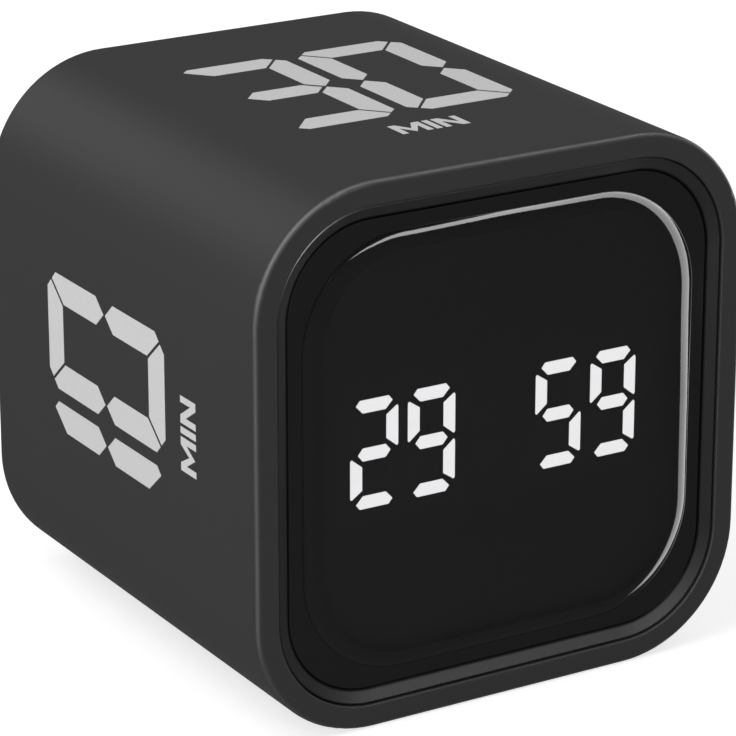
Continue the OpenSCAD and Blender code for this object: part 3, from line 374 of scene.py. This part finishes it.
def finish(material, colour, roughness, height, relief, edge, sockets, worn=None):
    """Closes a material: relief in millimetres, edges eased by a radius in millimetres, and the shader's
    own sockets.

    worn is the specular level of the eased edges, if it isn't that of the flats.
    """
    inputs = {"Height": height, "Distance": relief * MM}
    plain = {name.replace("_", " "): value for name, value in sockets.items()}
    if edge:
        inputs["Normal"] = add(material, "ShaderNodeBevel", {"Radius": edge * MM}).outputs["Normal"]
    if worn:
        flat = plain["Specular IOR Level"]
        plain["Specular IOR Level"] = edge_gloss(material, inputs["Normal"], flat, worn)
    bump = add(material, "ShaderNodeBump", inputs)
    shader = add(
        material, "ShaderNodeBsdfPrincipled",
        {"Base Color": colour, "Roughness": roughness, "Normal": bump.outputs["Normal"], **plain},
    )
    add(material, "ShaderNodeOutputMaterial", {"Surface": shader.outputs["BSDF"]})
    return material


def grained(
    name, colour, grain, roughness, contrast=0.1, spread=0.06, relief=0.01, edge=0, worn=None,
    stretch=(1, 1, 1), **sockets
):
    """A finish whose colour, gloss and relief follow one noise of the grain's size in millimetres.

    The noise runs the colour from 1 - contrast to 1 + contrast times itself, the roughness by spread
    either way and the height by relief. stretch draws the grain out along an axis, and edge eases
    the edges.
    """
    material = start(name)
    spot = add(material, "ShaderNodeTexCoord")
    drawn = add(material, "ShaderNodeMapping", {"Vector": spot.outputs["Object"], "Scale": stretch})
    noise = add(
        material, "ShaderNodeTexNoise",
        {"Vector": drawn.outputs["Vector"], "Scale": 1 / (grain * MM), "Detail": 3.0, "Roughness": 0.55},
    )
    tone = add(
        material, "ShaderNodeMix",
        {0: noise.outputs["Fac"], 6: shade(colour, 1 - contrast), 7: shade(colour, 1 + contrast)},
        data_type="RGBA",
    )
    gloss = add(
        material, "ShaderNodeMapRange",
        {"Value": noise.outputs["Fac"], "To Min": roughness - spread, "To Max": roughness + spread},
    )
    return finish(
        material, tone.outputs[2], gloss.outputs["Result"], noise.outputs["Fac"], relief, edge, sockets,
        worn,
    )


def striped(name, ground, stripe, pitch, roughness, relief=0.02, edge=0, soft=0.08, **sockets):
    """A finish of even stripes across the object's X axis, at a pitch in millimetres. soft is how far a
    stripe's edge blurs to either side, as a share of the wave's height.

    A wave texture's bands repeat every pi / 10 of its scaled length, so its scale is that over the pitch.
    """
    material = start(name)
    spot = add(material, "ShaderNodeTexCoord")
    wave = add(
        material, "ShaderNodeTexWave",
        {"Vector": spot.outputs["Object"], "Scale": math.pi / 10 / (pitch * MM)},
    )
    crisp = add(
        material, "ShaderNodeMapRange",
        {"Value": wave.outputs["Fac"], "From Min": 0.5 - soft, "From Max": 0.5 + soft},
    )
    tone = add(
        material, "ShaderNodeMix", {0: crisp.outputs["Result"], 6: ground, 7: stripe}, data_type="RGBA"
    )
    return finish(material, tone.outputs[2], roughness, crisp.outputs["Result"], relief, edge, sockets)


# Finishes of the outside


def soft_touch_paint(colour):
    """Soft-touch paint sprayed on moulded ABS: nearly matt, with a faint mottle, and polished by hands
    at its edges."""
    return grained(
        "Soft-touch paint on ABS", colour, grain=0.5, roughness=0.42, contrast=0.05, relief=0.006, edge=0.3,
        worn=0.9, Specular_IOR_Level=0.1,
    )


def silk_screen_ink(colour):
    """Silk-screened ink: chalky and matt, with the speckle of the mesh, drawn a little coarser to show."""
    return grained(
        "Silk-screened ink", colour, grain=0.35, roughness=0.65, contrast=0.06, relief=0.004,
        Specular_IOR_Level=0.1,
    )


def satin_abs(colour, fade, black):
    """Moulded ABS with a satin face: a soft sheen on its slopes, and painted shade where it goes down
    to the window.

    From fade to black, both along Y, the colour is painted darker, running to black as a painted shadow
    in the gap at the window, and the specular level runs from sheen to dull, so that painted shadow has
    no gloss.
    """
    grain, contrast, sheen, dull = 0.4, 0.05, 0.2, 0.03
    material = start("Satin moulded ABS")
    spot = add(material, "ShaderNodeTexCoord")
    noise = add(
        material, "ShaderNodeTexNoise", {"Vector": spot.outputs["Object"], "Scale": 1 / (grain * MM)}
    )
    tone = add(
        material, "ShaderNodeMix",
        {0: noise.outputs["Fac"], 6: shade(colour, 1 - contrast), 7: shade(colour, 1 + contrast)},
        data_type="RGBA",
    )
    axes = add(material, "ShaderNodeSeparateXYZ", {"Vector": spot.outputs["Object"]})
    # Painted shade: this mask is 0 at fade and 1 at black along Y, and marks where the shadow in the gap at
    # the window is painted in
    painted_shade_mask = add(
        material, "ShaderNodeMapRange", {"Value": axes.outputs["Y"], "From Min": fade, "From Max": black}
    )
    level = add(
        material, "ShaderNodeMapRange", {"Value": painted_shade_mask.outputs["Result"], "To Min": sheen, "To Max": dull}
    )
    # The colour of the painted shadow, mixed in by that mask
    painted_shade_tone = add(
        material, "ShaderNodeMix", {0: painted_shade_mask.outputs["Result"], 6: tone.outputs[2], 7: linear("#080808")},
        data_type="RGBA",
    )
    return finish(
        material, painted_shade_tone.outputs[2], roughness=0.42, height=noise.outputs["Fac"], relief=0.004, edge=0.15,
        sockets={"Specular_IOR_Level": level.outputs["Result"]},
    )


def spark_textured_abs(colour):
    """Moulded ABS from a spark-eroded tool: an even matt pebble, drawn at 0.3 mm, not 0.1 mm, to show."""
    return grained(
        "Spark-textured ABS", colour, grain=0.3, roughness=0.6, contrast=0.14, relief=0.05, edge=0.12,
        Specular_IOR_Level=0.25,
    )


def polished_abs(colour):
    """Moulded ABS from a polished tool: smooth, with a clear soft highlight on round edges."""
    return grained(
        "Polished moulded ABS", colour, grain=0.8, roughness=0.28, contrast=0.05, relief=0.003, edge=0.12
    )


def smoked_acrylic(name, colour, body):
    """Smoked cast acrylic, coated against glare: near black and glossy, and see-through to the light
    behind it."""
    return grained(
        name, colour, grain=8, roughness=0.05, contrast=0.03, spread=0.01, relief=0, Alpha=body,
        Specular_IOR_Level=0.1,
    )


def black_print():
    """Black ink printed on the back of the window: dead matt, so nothing but the figures shows through."""
    return grained(
        "Black back print", linear("#050505"), grain=0.4, roughness=0.75, Specular_IOR_Level=0.1
    )


def clear_polycarbonate():
    """Clear moulded polycarbonate: water-white, with a frosted end that carries the light."""
    return grained(
        "Clear moulded polycarbonate", linear("#E9EEF0"), grain=1, roughness=0.16, contrast=0.02,
        relief=0.002, Transmission_Weight=0.9, IOR=1.58,
    )


def nickel_plate():
    """Nickel plate on stamped steel: a warm bright grey with faint drawing lines along the shell."""
    return grained(
        "Nickel-plated stamped steel", linear("#C6C3BC"), grain=0.25, roughness=0.24, contrast=0.06,
        stretch=(1, 0.08, 1), edge=0.1, Metallic=1.0,
    )


def gold_contacts():
    """Black glass-filled nylon with gold-plated contacts moulded in, at the real 0.5 mm pitch."""
    return striped(
        "Nylon with gold-plated contacts", linear("#141414"), linear("#B98F3E"), pitch=0.5, roughness=0.35,
        edge=0.08,
    )


def zinc_plate():
    """Zinc plate on cold-headed steel: a bluish grey with a fine crystalline bloom."""
    return grained(
        "Zinc-plated steel", linear("#AEB2B6"), grain=0.3, roughness=0.34, contrast=0.12, spread=0.1,
        edge=0.08, Metallic=1.0,
    )


# Finishes of the inside


def adhesive_film():
    """Black double-sided film: slightly dimpled, with a dull shine."""
    return grained(
        "Black adhesive film", linear("#0C0C0C"), grain=0.5, roughness=0.6, Specular_IOR_Level=0.2
    )


def black_polycarbonate():
    """Black moulded polycarbonate, matt, so that light stays in its wells."""
    return grained(
        "Black moulded polycarbonate", linear("#070707"), grain=0.4, roughness=0.65, Specular_IOR_Level=0.15
    )


def lit_epoxy(colour, strength):
    """Milky cast epoxy over lit chips: it glows evenly to its edges."""
    return grained(
        "Milky epoxy, lit", linear("#F2F2F2"), grain=0.6, roughness=0.5, contrast=0.02,
        Emission_Color=colour, Emission_Strength=strength,
    )


def unlit_epoxy():
    """Dark tinted cast epoxy over unlit chips: it all but vanishes in the black block."""
    return grained(
        "Tinted epoxy, unlit", linear("#0B0B0B"), grain=0.6, roughness=0.5, Specular_IOR_Level=0.2
    )


def phosphor_chip():
    """White light chip: a phosphor-filled silicone dome, pale yellow and waxy."""
    return grained(
        "Phosphor-filled silicone", linear("#E6DC9A"), grain=0.2, roughness=0.45, contrast=0.08
    )


def solder_mask():
    """Green solder mask over copper tracks: glossy, with the tracks a lighter green at a 1.2 mm pitch.

    A brick texture's rows are a quarter of its scaled length apart, so its scale is that over the pitch.
    """
    pitch, row = 1.2, 0.25
    material = start("Solder mask over copper tracks")
    spot = add(material, "ShaderNodeTexCoord")
    upright = add(
        material, "ShaderNodeMapping",
        {"Vector": spot.outputs["Object"], "Rotation": (math.radians(-90), 0, 0)},
    )
    tracks = add(
        material, "ShaderNodeTexBrick",
        {"Vector": upright.outputs["Vector"], "Color1": linear("#0E3B26"), "Color2": linear("#123F2A"),
         "Mortar": linear("#2B6B45"), "Scale": row / (pitch * MM), "Mortar Size": 0.03,
         "Mortar Smooth": 0.2},
    )
    return finish(
        material, tracks.outputs["Color"], roughness=0.32, height=tracks.outputs["Fac"], relief=0.03,
        edge=0.1, sockets={},
    )


def chip_epoxy():
    """Transfer-moulded black epoxy: matt and slightly sandy."""
    return grained(
        "Moulded black epoxy", linear("#17181A"), grain=0.15, roughness=0.55, contrast=0.2, relief=0.02,
        edge=0.08,
    )


def nylon():
    """Natural moulded nylon: creamy and waxy."""
    return grained(
        "Natural moulded nylon", linear("#E2DCC6"), grain=0.8, roughness=0.45, contrast=0.04, edge=0.1
    )


def polyimide_ribbon():
    """Polyimide film over flat copper: amber, with a conductor every 0.5 mm along it."""
    return striped("Polyimide ribbon", linear("#8A4A12"), linear("#C07A2C"), pitch=0.5, roughness=0.3)


def grey_abs():
    """Natural dark ABS, moulded and unpainted: plain satin with faint flow marks along it."""
    return grained(
        "Unpainted moulded ABS", linear("#2C2D2F"), grain=1.5, roughness=0.48, contrast=0.08,
        stretch=(0.3, 1, 1), edge=0.15,
    )


def pouch_foil():
    """Aluminium pouch foil, embossed: silvery and softly creased."""
    return grained(
        "Aluminium pouch foil", linear("#B9BCC0"), grain=4, roughness=0.34, contrast=0.05, spread=0.1,
        relief=0.25, Metallic=0.9,
    )


def foam():
    """Closed-cell foam: dark, dead matt and full of fine pores."""
    return grained(
        "Closed-cell foam", linear("#1D1D1F"), grain=0.4, roughness=0.95, contrast=0.45, relief=0.15,
        Specular_IOR_Level=0.1,
    )


def pvc(hex_colour):
    """Extruded PVC insulation: an even colour with a soft shine along the lead."""
    return grained("Extruded PVC", linear(hex_colour), grain=0.8, roughness=0.38, contrast=0.04)


def drawn_steel():
    """Drawn steel: bright grey, with fine lines along the draw."""
    return grained(
        "Drawn steel", linear("#BDBFC1"), grain=0.25, roughness=0.3, contrast=0.1, stretch=(0.06, 1, 1),
        edge=0.12, Metallic=1.0,
    )


def silicone_rubber():
    """Moulded silicone rubber: soft black with a powdery bloom."""
    return grained(
        "Moulded silicone rubber", linear("#1B1B1C"), grain=0.5, roughness=0.7, contrast=0.15, edge=0.15
    )


def sintered_tungsten():
    """Sintered tungsten: heavy dull grey with a grainy break."""
    return grained(
        "Sintered tungsten", linear("#77787A"), grain=0.2, roughness=0.5, contrast=0.2, relief=0.03,
        edge=0.1, Metallic=1.0,
    )


def fired_ceramic():
    """Fired ceramic: tan and even, with a dry sheen."""
    return grained("Fired ceramic", linear("#A68A63"), grain=0.3, roughness=0.5, contrast=0.1, edge=0.05)


def white_acetal():
    """Moulded white acetal: slippery and slightly translucent."""
    return grained(
        "Moulded white acetal", linear("#DEDEDA"), grain=0.6, roughness=0.35, contrast=0.03, edge=0.08
    )


# Pieces


class CUBETIMER_OT_case(bpy.types.Operator):
    """Finish the case and its printed numerals"""

    bl_idname = "cube_timer.case"
    bl_label = "Case and numerals"

    def execute(self, context):
        looks = context.scene.case_looks
        dress(soft_touch_paint(looks.shell), "outer_shell")
        dress(
            silk_screen_ink(looks.ink), "numerals_top", "numerals_left", "numerals_right", "numerals_bottom"
        )
        return {"FINISHED"}


class CUBETIMER_OT_bezel(bpy.types.Operator):
    """Finish the front bezel and the adhesive frame behind the window"""

    bl_idname = "cube_timer.bezel"
    bl_label = "Front bezel"

    def execute(self, context):
        looks = context.scene.case_looks
        band_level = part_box("display_window")[0].y + context.scene.window_looks.height
        # The bezel gets painted shade, darker towards the window, between these two depths
        satin = satin_abs(looks.bezel, band_level - looks.bezel_shade_start, band_level - looks.bezel_shade_full)
        dress(satin, "front_bezel")
        dress(adhesive_film(), "window_tape")
        return {"FINISHED"}


class CUBETIMER_OT_window(bpy.types.Operator):
    """Build the smoked window and its black back print"""

    bl_idname = "cube_timer.window"
    bl_label = "Display window"
    corner_steps: IntProperty(name="Corner steps", description="Points round a corner", default=24)
    rise_steps: IntProperty(name="Rise steps", description="Rings over the rise", default=20)

    def pane(self, looks):
        """Rings of rounded squares: the back, the edge, the flat band, then a quarter of an ellipse up to
        the middle."""
        low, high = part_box("display_window")
        back, front = -high.y, -low.y
        band_level = front - looks.height
        foot = high.x - looks.band
        turn = np.linspace(0, np.pi / 2, self.rise_steps)
        inset = looks.rise * (1 - np.cos(turn))
        half = np.concatenate([[high.x, high.x], foot - inset])
        radius = np.concatenate([[looks.corner, looks.corner], looks.foot_corner - inset])
        out = np.concatenate([[back, band_level], band_level + looks.height * np.sin(turn)])
        u, v = round_ring(column(half), column(half), column(radius), self.corner_steps)
        return skin("window_pane", facing(FRONT, u, v, column(out)))

    def back_print(self, looks):
        """A thin frame: from its round outer edge to a square opening a little within the display block,
        and back."""
        low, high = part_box("display_window")
        block_low, block_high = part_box("display_block")
        edge = high.x - looks.print_edge
        open_u = block_high.x - looks.print_lap
        open_v = (block_high.z - block_low.z) / 2 - looks.print_lap
        near = -high.y - looks.print_gap
        far = near - looks.print_depth
        radius = looks.corner - looks.print_edge
        small = looks.print_corner
        u, v = round_ring(
            column([edge, edge, open_u, open_u]), column([edge, edge, open_v, open_v]),
            column([radius, radius, small, small]), self.corner_steps,
        )
        return skin("window_print", facing(FRONT, u, v, column([far, near, near, far])), looped=True)

    def execute(self, context):
        looks = context.scene.window_looks
        pane = self.pane(looks)
        edge = smoked_acrylic("Smoked cast acrylic, backed", looks.edge_tint, 1)
        clear = smoked_acrylic("Smoked cast acrylic, coated", looks.tint, looks.body)
        place(pane, edge, "case", "window_acrylic", "display_window")
        pane.materials.append(clear)
        for cap in pane.polygons[-2:]:
            cap.material_index = 1
        place(self.back_print(looks), black_print(), "case", "window_acrylic")
        return {"FINISHED"}


class CUBETIMER_OT_display(bpy.types.Operator):
    """Finish the display block, its figures and the light chips"""

    bl_idname = "cube_timer.display"
    bl_label = "Display"

    def execute(self, context):
        looks = context.scene.display_looks
        dress(black_polycarbonate(), "display_block")
        dress(lit_epoxy(looks.lit, looks.strength), "segments_lit")
        dress(unlit_epoxy(), "segments_unlit")
        dress(phosphor_chip(), "display_lights", "charge_light")
        return {"FINISHED"}


class CUBETIMER_OT_buttons(bpy.types.Operator):
    """Build the three button caps"""

    bl_idname = "cube_timer.buttons"
    bl_label = "Buttons"
    steps: IntProperty(name="Steps", description="Points round a cap", default=64)
    rim_steps: IntProperty(name="Rim steps", description="Rings over a cap's rim", default=9)
    dish_steps: IntProperty(name="Dish steps", description="Rings over a cap's dish", default=10)

    def cap(self, name, node, looks):
        """A turned profile: stem, collar, side, a quarter circle for the rim, then a dish that deepens
        as 1 - r squared, down to a last small ring."""
        low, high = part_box(node)
        face = high.y
        collar_radius = (high.x - low.x) / 2
        collar_top = face - looks.collar_depth
        collar_foot = collar_top - looks.collar
        flat = looks.cap - looks.rim
        last_ring = 0.02
        turn = np.linspace(0, np.pi / 2, self.rim_steps)
        part = np.linspace(1, last_ring, self.dish_steps)[1:]
        stem = [(looks.stem, low.y), (looks.stem, collar_foot)]
        collar = [(collar_radius, collar_foot), (collar_radius, collar_top), (looks.cap, collar_top)]
        rim = np.stack([flat + looks.rim * np.cos(turn), face - looks.rim * (1 - np.sin(turn))], axis=1)
        dish = np.stack([flat * part, face - looks.dish * (1 - part ** 2)], axis=1)
        profile = np.concatenate([stem, collar, rim, dish])
        u, v = turned_ring(profile[:, :1], self.steps)
        middle = (low + high) / 2
        return skin(name, facing(REAR, u - middle.x, v + middle.z - CENTRE_Z, profile[:, 1:]))

    def execute(self, context):
        looks = context.scene.button_looks
        plastic = polished_abs(context.scene.case_looks.button)
        for key in ("minute", "second", "start"):
            cap = self.cap(f"{key}_cap", f"{key}_button", looks)
            place(cap, plastic, f"{key}_key", "button_plastic", f"{key}_button")
        dress(white_acetal(), "minute_plunger", "second_plunger", "start_plunger", "slide_post")
        return {"FINISHED"}


class CUBETIMER_OT_rear(bpy.types.Operator):
    """Finish the rear cover, what shows in it and all the screws"""

    bl_idname = "cube_timer.rear"
    bl_label = "Rear cover"

    def execute(self, context):
        looks = context.scene.case_looks
        dress(spark_textured_abs(looks.cover), "rear_cover")
        dress(polished_abs(looks.button), "mode_slider")
        dress(nickel_plate(), "usb_shell")
        dress(gold_contacts(), "usb_tongue")
        dress(clear_polycarbonate(), "light_pipe")
        dress(zinc_plate(), "cover_screws", "board_screws", "frame_screws", "display_screws")
        return {"FINISHED"}


class CUBETIMER_OT_boards(bpy.types.Operator):
    """Finish the boards, their parts and ribbon, the inner frame, the foam and the drawn steel"""

    bl_idname = "cube_timer.boards"
    bl_label = "Boards"

    def execute(self, context):
        dress(solder_mask(), "display_board", "main_board")
        dress(chip_epoxy(), "display_driver", "controller", "motion_sensor", "charge_controller")
        dress(nylon(), "display_socket", "main_socket", "battery_plug")
        dress(polyimide_ribbon(), "ribbon_lead")
        dress(fired_ceramic(), "small_parts")
        dress(grey_abs(), "inner_frame", "sounder", "key_switches")
        dress(foam(), "sounder_gasket", "battery_pad")
        dress(drawn_steel(), "slide_switch", "motor_can", "motor_shaft")
        return {"FINISHED"}


class CUBETIMER_OT_power(bpy.types.Operator):
    """Finish the battery, the motor's boot and weight, and the leads"""

    bl_idname = "cube_timer.power"
    bl_label = "Battery and motor"

    def execute(self, context):
        dress(pouch_foil(), "battery")
        dress(silicone_rubber(), "motor_boot")
        dress(sintered_tungsten(), "motor_weight")
        dress(pvc("#A3231F"), "battery_lead_red")
        dress(pvc("#151515"), "battery_lead_black")
        dress(pvc("#24489A"), "motor_leads")
        return {"FINISHED"}


class CUBETIMER_OT_stage(bpy.types.Operator):
    """Build the floor, the lamps, the world and the camera"""

    bl_idname = "cube_timer.stage"
    bl_label = "Stage"

    def camera(self, context, looks):
        """The camera stands back from its aim along yaw and pitch, with its own up."""
        yaw, pitch = looks.yaw, looks.pitch
        level = math.cos(pitch)
        back = Vector((math.sin(yaw) * level, -math.cos(yaw) * level, math.sin(pitch)))
        right = Vector((math.cos(yaw), math.sin(yaw), 0))
        aim = Vector((0, 0, CENTRE_Z)) + looks.aim_right * right + looks.aim_up * back.cross(right)
        lens = bpy.data.cameras.new("camera")
        lens.lens = looks.lens
        lens.sensor_width = SENSOR_WIDTH
        camera = bpy.data.objects.new("camera", lens)
        camera.location = aim + looks.distance * back
        camera.rotation_mode = "QUATERNION"
        camera.rotation_quaternion = (-back).to_track_quat("-Z", "Y")
        context.scene.collection.objects.link(camera)
        context.scene.camera = camera
        return camera

    def soft_box(self, context, looks, name, direction, power):
        """A square lamp that looks at the object's middle from a direction."""
        lamp = bpy.data.lights.new(name, "AREA")
        lamp.size = looks.lamp_size
        lamp.energy = power
        box = bpy.data.objects.new(name, lamp)
        box.location = Vector((0, 0, CENTRE_Z)) + looks.lamp_distance * Vector(direction).normalized()
        box.rotation_mode = "QUATERNION"
        box.rotation_quaternion = Vector(direction).to_track_quat("Z", "Y")
        context.scene.collection.objects.link(box)
        return box

    def gloss_only(self, box, piece):
        """Lets a soft box show only in the gloss of one piece."""
        box.data.cycles.use_multiple_importance_sampling = False
        box.visible_diffuse = box.visible_transmission = False
        self.keep_to(box, piece)

    def keep_to(self, lamp, piece):
        """Keeps a lamp to one piece, which alone can shade itself from it."""
        lit = bpy.data.collections.new(f"lit_by_{lamp.name}")
        lit.objects.link(piece)
        lamp.light_linking.receiver_collection = lit
        lamp.light_linking.blocker_collection = lit

    def spare(self, lamp, *pieces):
        """Keeps a lamp off some pieces."""
        spared = bpy.data.collections.new(f"spared_by_{lamp.name}")
        for piece in pieces:
            spared.objects.link(piece)
        for entry in spared.collection_objects:
            entry.light_linking.link_state = "EXCLUDE"
        lamp.light_linking.receiver_collection = spared

    def strip_points(self, looks, window, eye):
        """Points of a strip that the window's rise mirrors to the camera, along its foot and across it,
        and their shares of light.

        The rise runs round a rounded square. Its section is a quarter of an ellipse, with the foot at
        turn 0. Each point is P + d R, with P on the rise, N its normal, V the line to the camera and
        R = 2 (N.V) N - V that line mirrored. d is the reach, or less if that is under the floor.
        """
        low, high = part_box("display_window")
        rows = np.array(STRIP)
        way = np.linspace(rows[0, 0], rows[-1, 0], STRIP_STEPS)
        first, last, share = (np.interp(way, rows[:, 0], rows[:, k])[:, None] for k in (1, 2, 3))
        bends = np.arange(len(WAY_FACES))
        centre = high.x - window.band - window.foot_corner
        angle = np.radians(np.interp(way, bends, WAY_FACES))[:, None]
        across = centre * np.interp(way, bends, WAY_ACROSS)[:, None]
        up = centre * np.interp(way, bends, WAY_UP)[:, None]
        inset = MM * (first + (last - first) * np.linspace(0, 1, STRIP_ROWS))
        turn = np.arccos(1 - inset / window.rise)
        tilt = np.arctan2(window.height * np.cos(turn), window.rise * np.sin(turn))
        radius = window.foot_corner - inset
        out = -low.y - window.height * (1 - np.sin(turn))
        spot = facing(FRONT, across + radius * np.cos(angle), up + radius * np.sin(angle), out)
        lean = np.sin(tilt)
        normal = facing(FRONT, lean * np.cos(angle), lean * np.sin(angle) - CENTRE_Z, np.cos(tilt))
        sight = np.asarray(eye) - spot
        sight /= np.linalg.norm(sight, axis=-1, keepdims=True)
        ray = 2 * np.sum(normal * sight, axis=-1, keepdims=True) * normal - sight
        above_floor = STRIP_FALL * spot[..., 2:] / np.maximum(-ray[..., 2:], LEAST_FALL)
        points = spot + np.minimum(looks.strip_reach, above_floor) * ray
        return points, np.repeat(share, STRIP_ROWS, axis=1)

    def strip_lamp(self, context, looks, eye):
        """A curved strip of light for the window's gloss: it adds to the rays that cross it, stops none."""
        points, share = self.strip_points(looks, context.scene.window_looks, eye)
        index = np.arange(share.size).reshape(share.shape)
        quads = np.stack([index[:-1, :-1], index[1:, :-1], index[1:, 1:], index[:-1, 1:]], axis=-1)
        mesh = bpy.data.meshes.new("strip")
        mesh.from_pydata(points.reshape(-1, 3).tolist(), [], quads.reshape(-1, 4).tolist())
        mesh.attributes.new("share", "FLOAT", "POINT").data.foreach_set("value", share.ravel())
        material = start("Strip lamp")
        part = add(material, "ShaderNodeAttribute", attribute_name="share")
        power = add(
            material, "ShaderNodeMath", {0: part.outputs["Fac"], 1: looks.strip}, operation="MULTIPLY"
        )
        light = add(material, "ShaderNodeEmission", {"Strength": power.outputs[0]})
        clear = add(material, "ShaderNodeBsdfTransparent")
        both = add(material, "ShaderNodeAddShader", {0: light.outputs[0], 1: clear.outputs[0]})
        add(material, "ShaderNodeOutputMaterial", {"Surface": both.outputs[0]})
        material.cycles.emission_sampling = "NONE"
        mesh.materials.append(material)
        strip = bpy.data.objects.new("strip", mesh)
        context.scene.collection.objects.link(strip)
        strip.visible_camera = strip.visible_diffuse = False
        strip.visible_shadow = strip.visible_transmission = False
        self.keep_to(strip, bpy.data.objects["window_pane"])

    def white_floor(self, context, looks):
        """A flat pale floor, which the camera sees whiter, with the shadow kept.

        To glossy and transmission rays it is clear with a gleam, so that linking can keep the gleam off
        some pieces.
        """
        reach = looks.floor_reach
        corners = [(-reach, -reach, 0), (reach, -reach, 0), (reach, reach, 0), (-reach, reach, 0)]
        mesh = bpy.data.meshes.new("floor")
        mesh.from_pydata(corners, [], [(0, 1, 2, 3)])
        floor = bpy.data.objects.new("floor", mesh)
        context.scene.collection.objects.link(floor)
        material = start("Pale floor")
        path = add(material, "ShaderNodeLightPath")
        glow = add(
            material, "ShaderNodeMath", {0: path.outputs["Is Camera Ray"], 1: looks.floor_glow},
            operation="MULTIPLY",
        )
        plain = add(
            material, "ShaderNodeBsdfPrincipled",
            {"Base Color": looks.floor, "Roughness": 0.9, "Specular IOR Level": 0.0,
             "Emission Color": linear("#FFFFFF"), "Emission Strength": glow.outputs[0]},
        )
        gleam = add(material, "ShaderNodeEmission", {"Strength": looks.floor_gleam})
        clear = add(material, "ShaderNodeBsdfTransparent")
        mirrored = add(material, "ShaderNodeAddShader", {0: gleam.outputs[0], 1: clear.outputs[0]})
        either = add(
            material, "ShaderNodeMath",
            {0: path.outputs["Is Glossy Ray"], 1: path.outputs["Is Transmission Ray"]}, operation="MAXIMUM",
        )
        seen = add(
            material, "ShaderNodeMixShader",
            {0: either.outputs[0], 1: plain.outputs["BSDF"], 2: mirrored.outputs[0]},
        )
        add(material, "ShaderNodeOutputMaterial", {"Surface": seen.outputs[0]})
        material.cycles.emission_sampling = "NONE"
        mesh.materials.append(material)
        return floor

    def sky(self, context, looks):
        """An even pale grey all round, which lights the object softly and shows in its gloss."""
        world = bpy.data.worlds.new("Studio")
        context.scene.world = world
        world.use_nodes = True
        world.node_tree.nodes.clear()
        background = add(
            world, "ShaderNodeBackground", {"Color": linear("#FFFFFF"), "Strength": looks.ambient}
        )
        add(world, "ShaderNodeOutputWorld", {"Surface": background.outputs[0]})

    def execute(self, context):
        looks = context.scene.stage_looks
        context.scene.view_settings.view_transform = "Standard"
        pane = bpy.data.objects["window_pane"]
        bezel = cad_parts["front_bezel"]
        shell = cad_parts["outer_shell"]
        camera = self.camera(context, looks)
        floor = self.white_floor(context, looks)
        self.sky(context, looks)
        boxes = {
            name: self.soft_box(context, looks, name, direction, getattr(looks, name))
            for name, direction in BOXES.items()
        }
        # The window and the bezel are dark and glossy, so most boxes are kept off them, and some are
        # theirs alone
        self.spare(floor, pane, bezel, shell)
        for name in ("key", "left", "back", "high", "right"):
            self.spare(boxes[name], pane, bezel)
        self.spare(boxes["front"], pane)
        self.spare(boxes["rear"], shell)
        self.keep_to(boxes["window"], pane)
        boxes["window"].visible_glossy = False
        for name in ("low", "lip"):
            self.gloss_only(boxes[name], bezel)
        for k, (direction, share) in enumerate(EDGE_BOXES):
            box = self.soft_box(context, looks, f"edge_{k}", direction, looks.edge * share)
            self.gloss_only(box, shell)
        self.strip_lamp(context, looks, camera.location)
        return {"FINISHED"}


class CUBETIMER_PT_pieces(bpy.types.Panel):
    """The timer's pieces and its stage"""

    bl_idname = "CUBETIMER_PT_pieces"
    bl_label = "Cube timer"
    bl_space_type = "VIEW_3D"
    bl_region_type = "UI"
    bl_category = "Cube timer"

    def draw(self, context):
        for operator in OPERATORS:
            self.layout.operator(operator.bl_idname)


LOOKS = {
    "case_looks": CaseLooks,
    "window_looks": WindowLooks,
    "display_looks": DisplayLooks,
    "button_looks": ButtonLooks,
    "stage_looks": StageLooks,
}
OPERATORS = (
    CUBETIMER_OT_case,
    CUBETIMER_OT_bezel,
    CUBETIMER_OT_window,
    CUBETIMER_OT_display,
    CUBETIMER_OT_buttons,
    CUBETIMER_OT_rear,
    CUBETIMER_OT_boards,
    CUBETIMER_OT_power,
    CUBETIMER_OT_stage,
)


def register():
    for name, looks in LOOKS.items():
        bpy.utils.register_class(looks)
        setattr(bpy.types.Scene, name, PointerProperty(type=looks))
    for panel_or_operator in (*OPERATORS, CUBETIMER_PT_pieces):
        bpy.utils.register_class(panel_or_operator)


def unregister():
    for panel_or_operator in (CUBETIMER_PT_pieces, *reversed(OPERATORS)):
        bpy.utils.unregister_class(panel_or_operator)
    for name, looks in LOOKS.items():
        delattr(bpy.types.Scene, name)
        bpy.utils.unregister_class(looks)


def main():
    register()
    bpy.ops.cube_timer.case()
    bpy.ops.cube_timer.bezel()
    bpy.ops.cube_timer.window()
    bpy.ops.cube_timer.display()
    bpy.ops.cube_timer.buttons()
    bpy.ops.cube_timer.rear()
    bpy.ops.cube_timer.boards()
    bpy.ops.cube_timer.power()
    bpy.ops.cube_timer.stage()


if __name__ == "__main__":
    main()
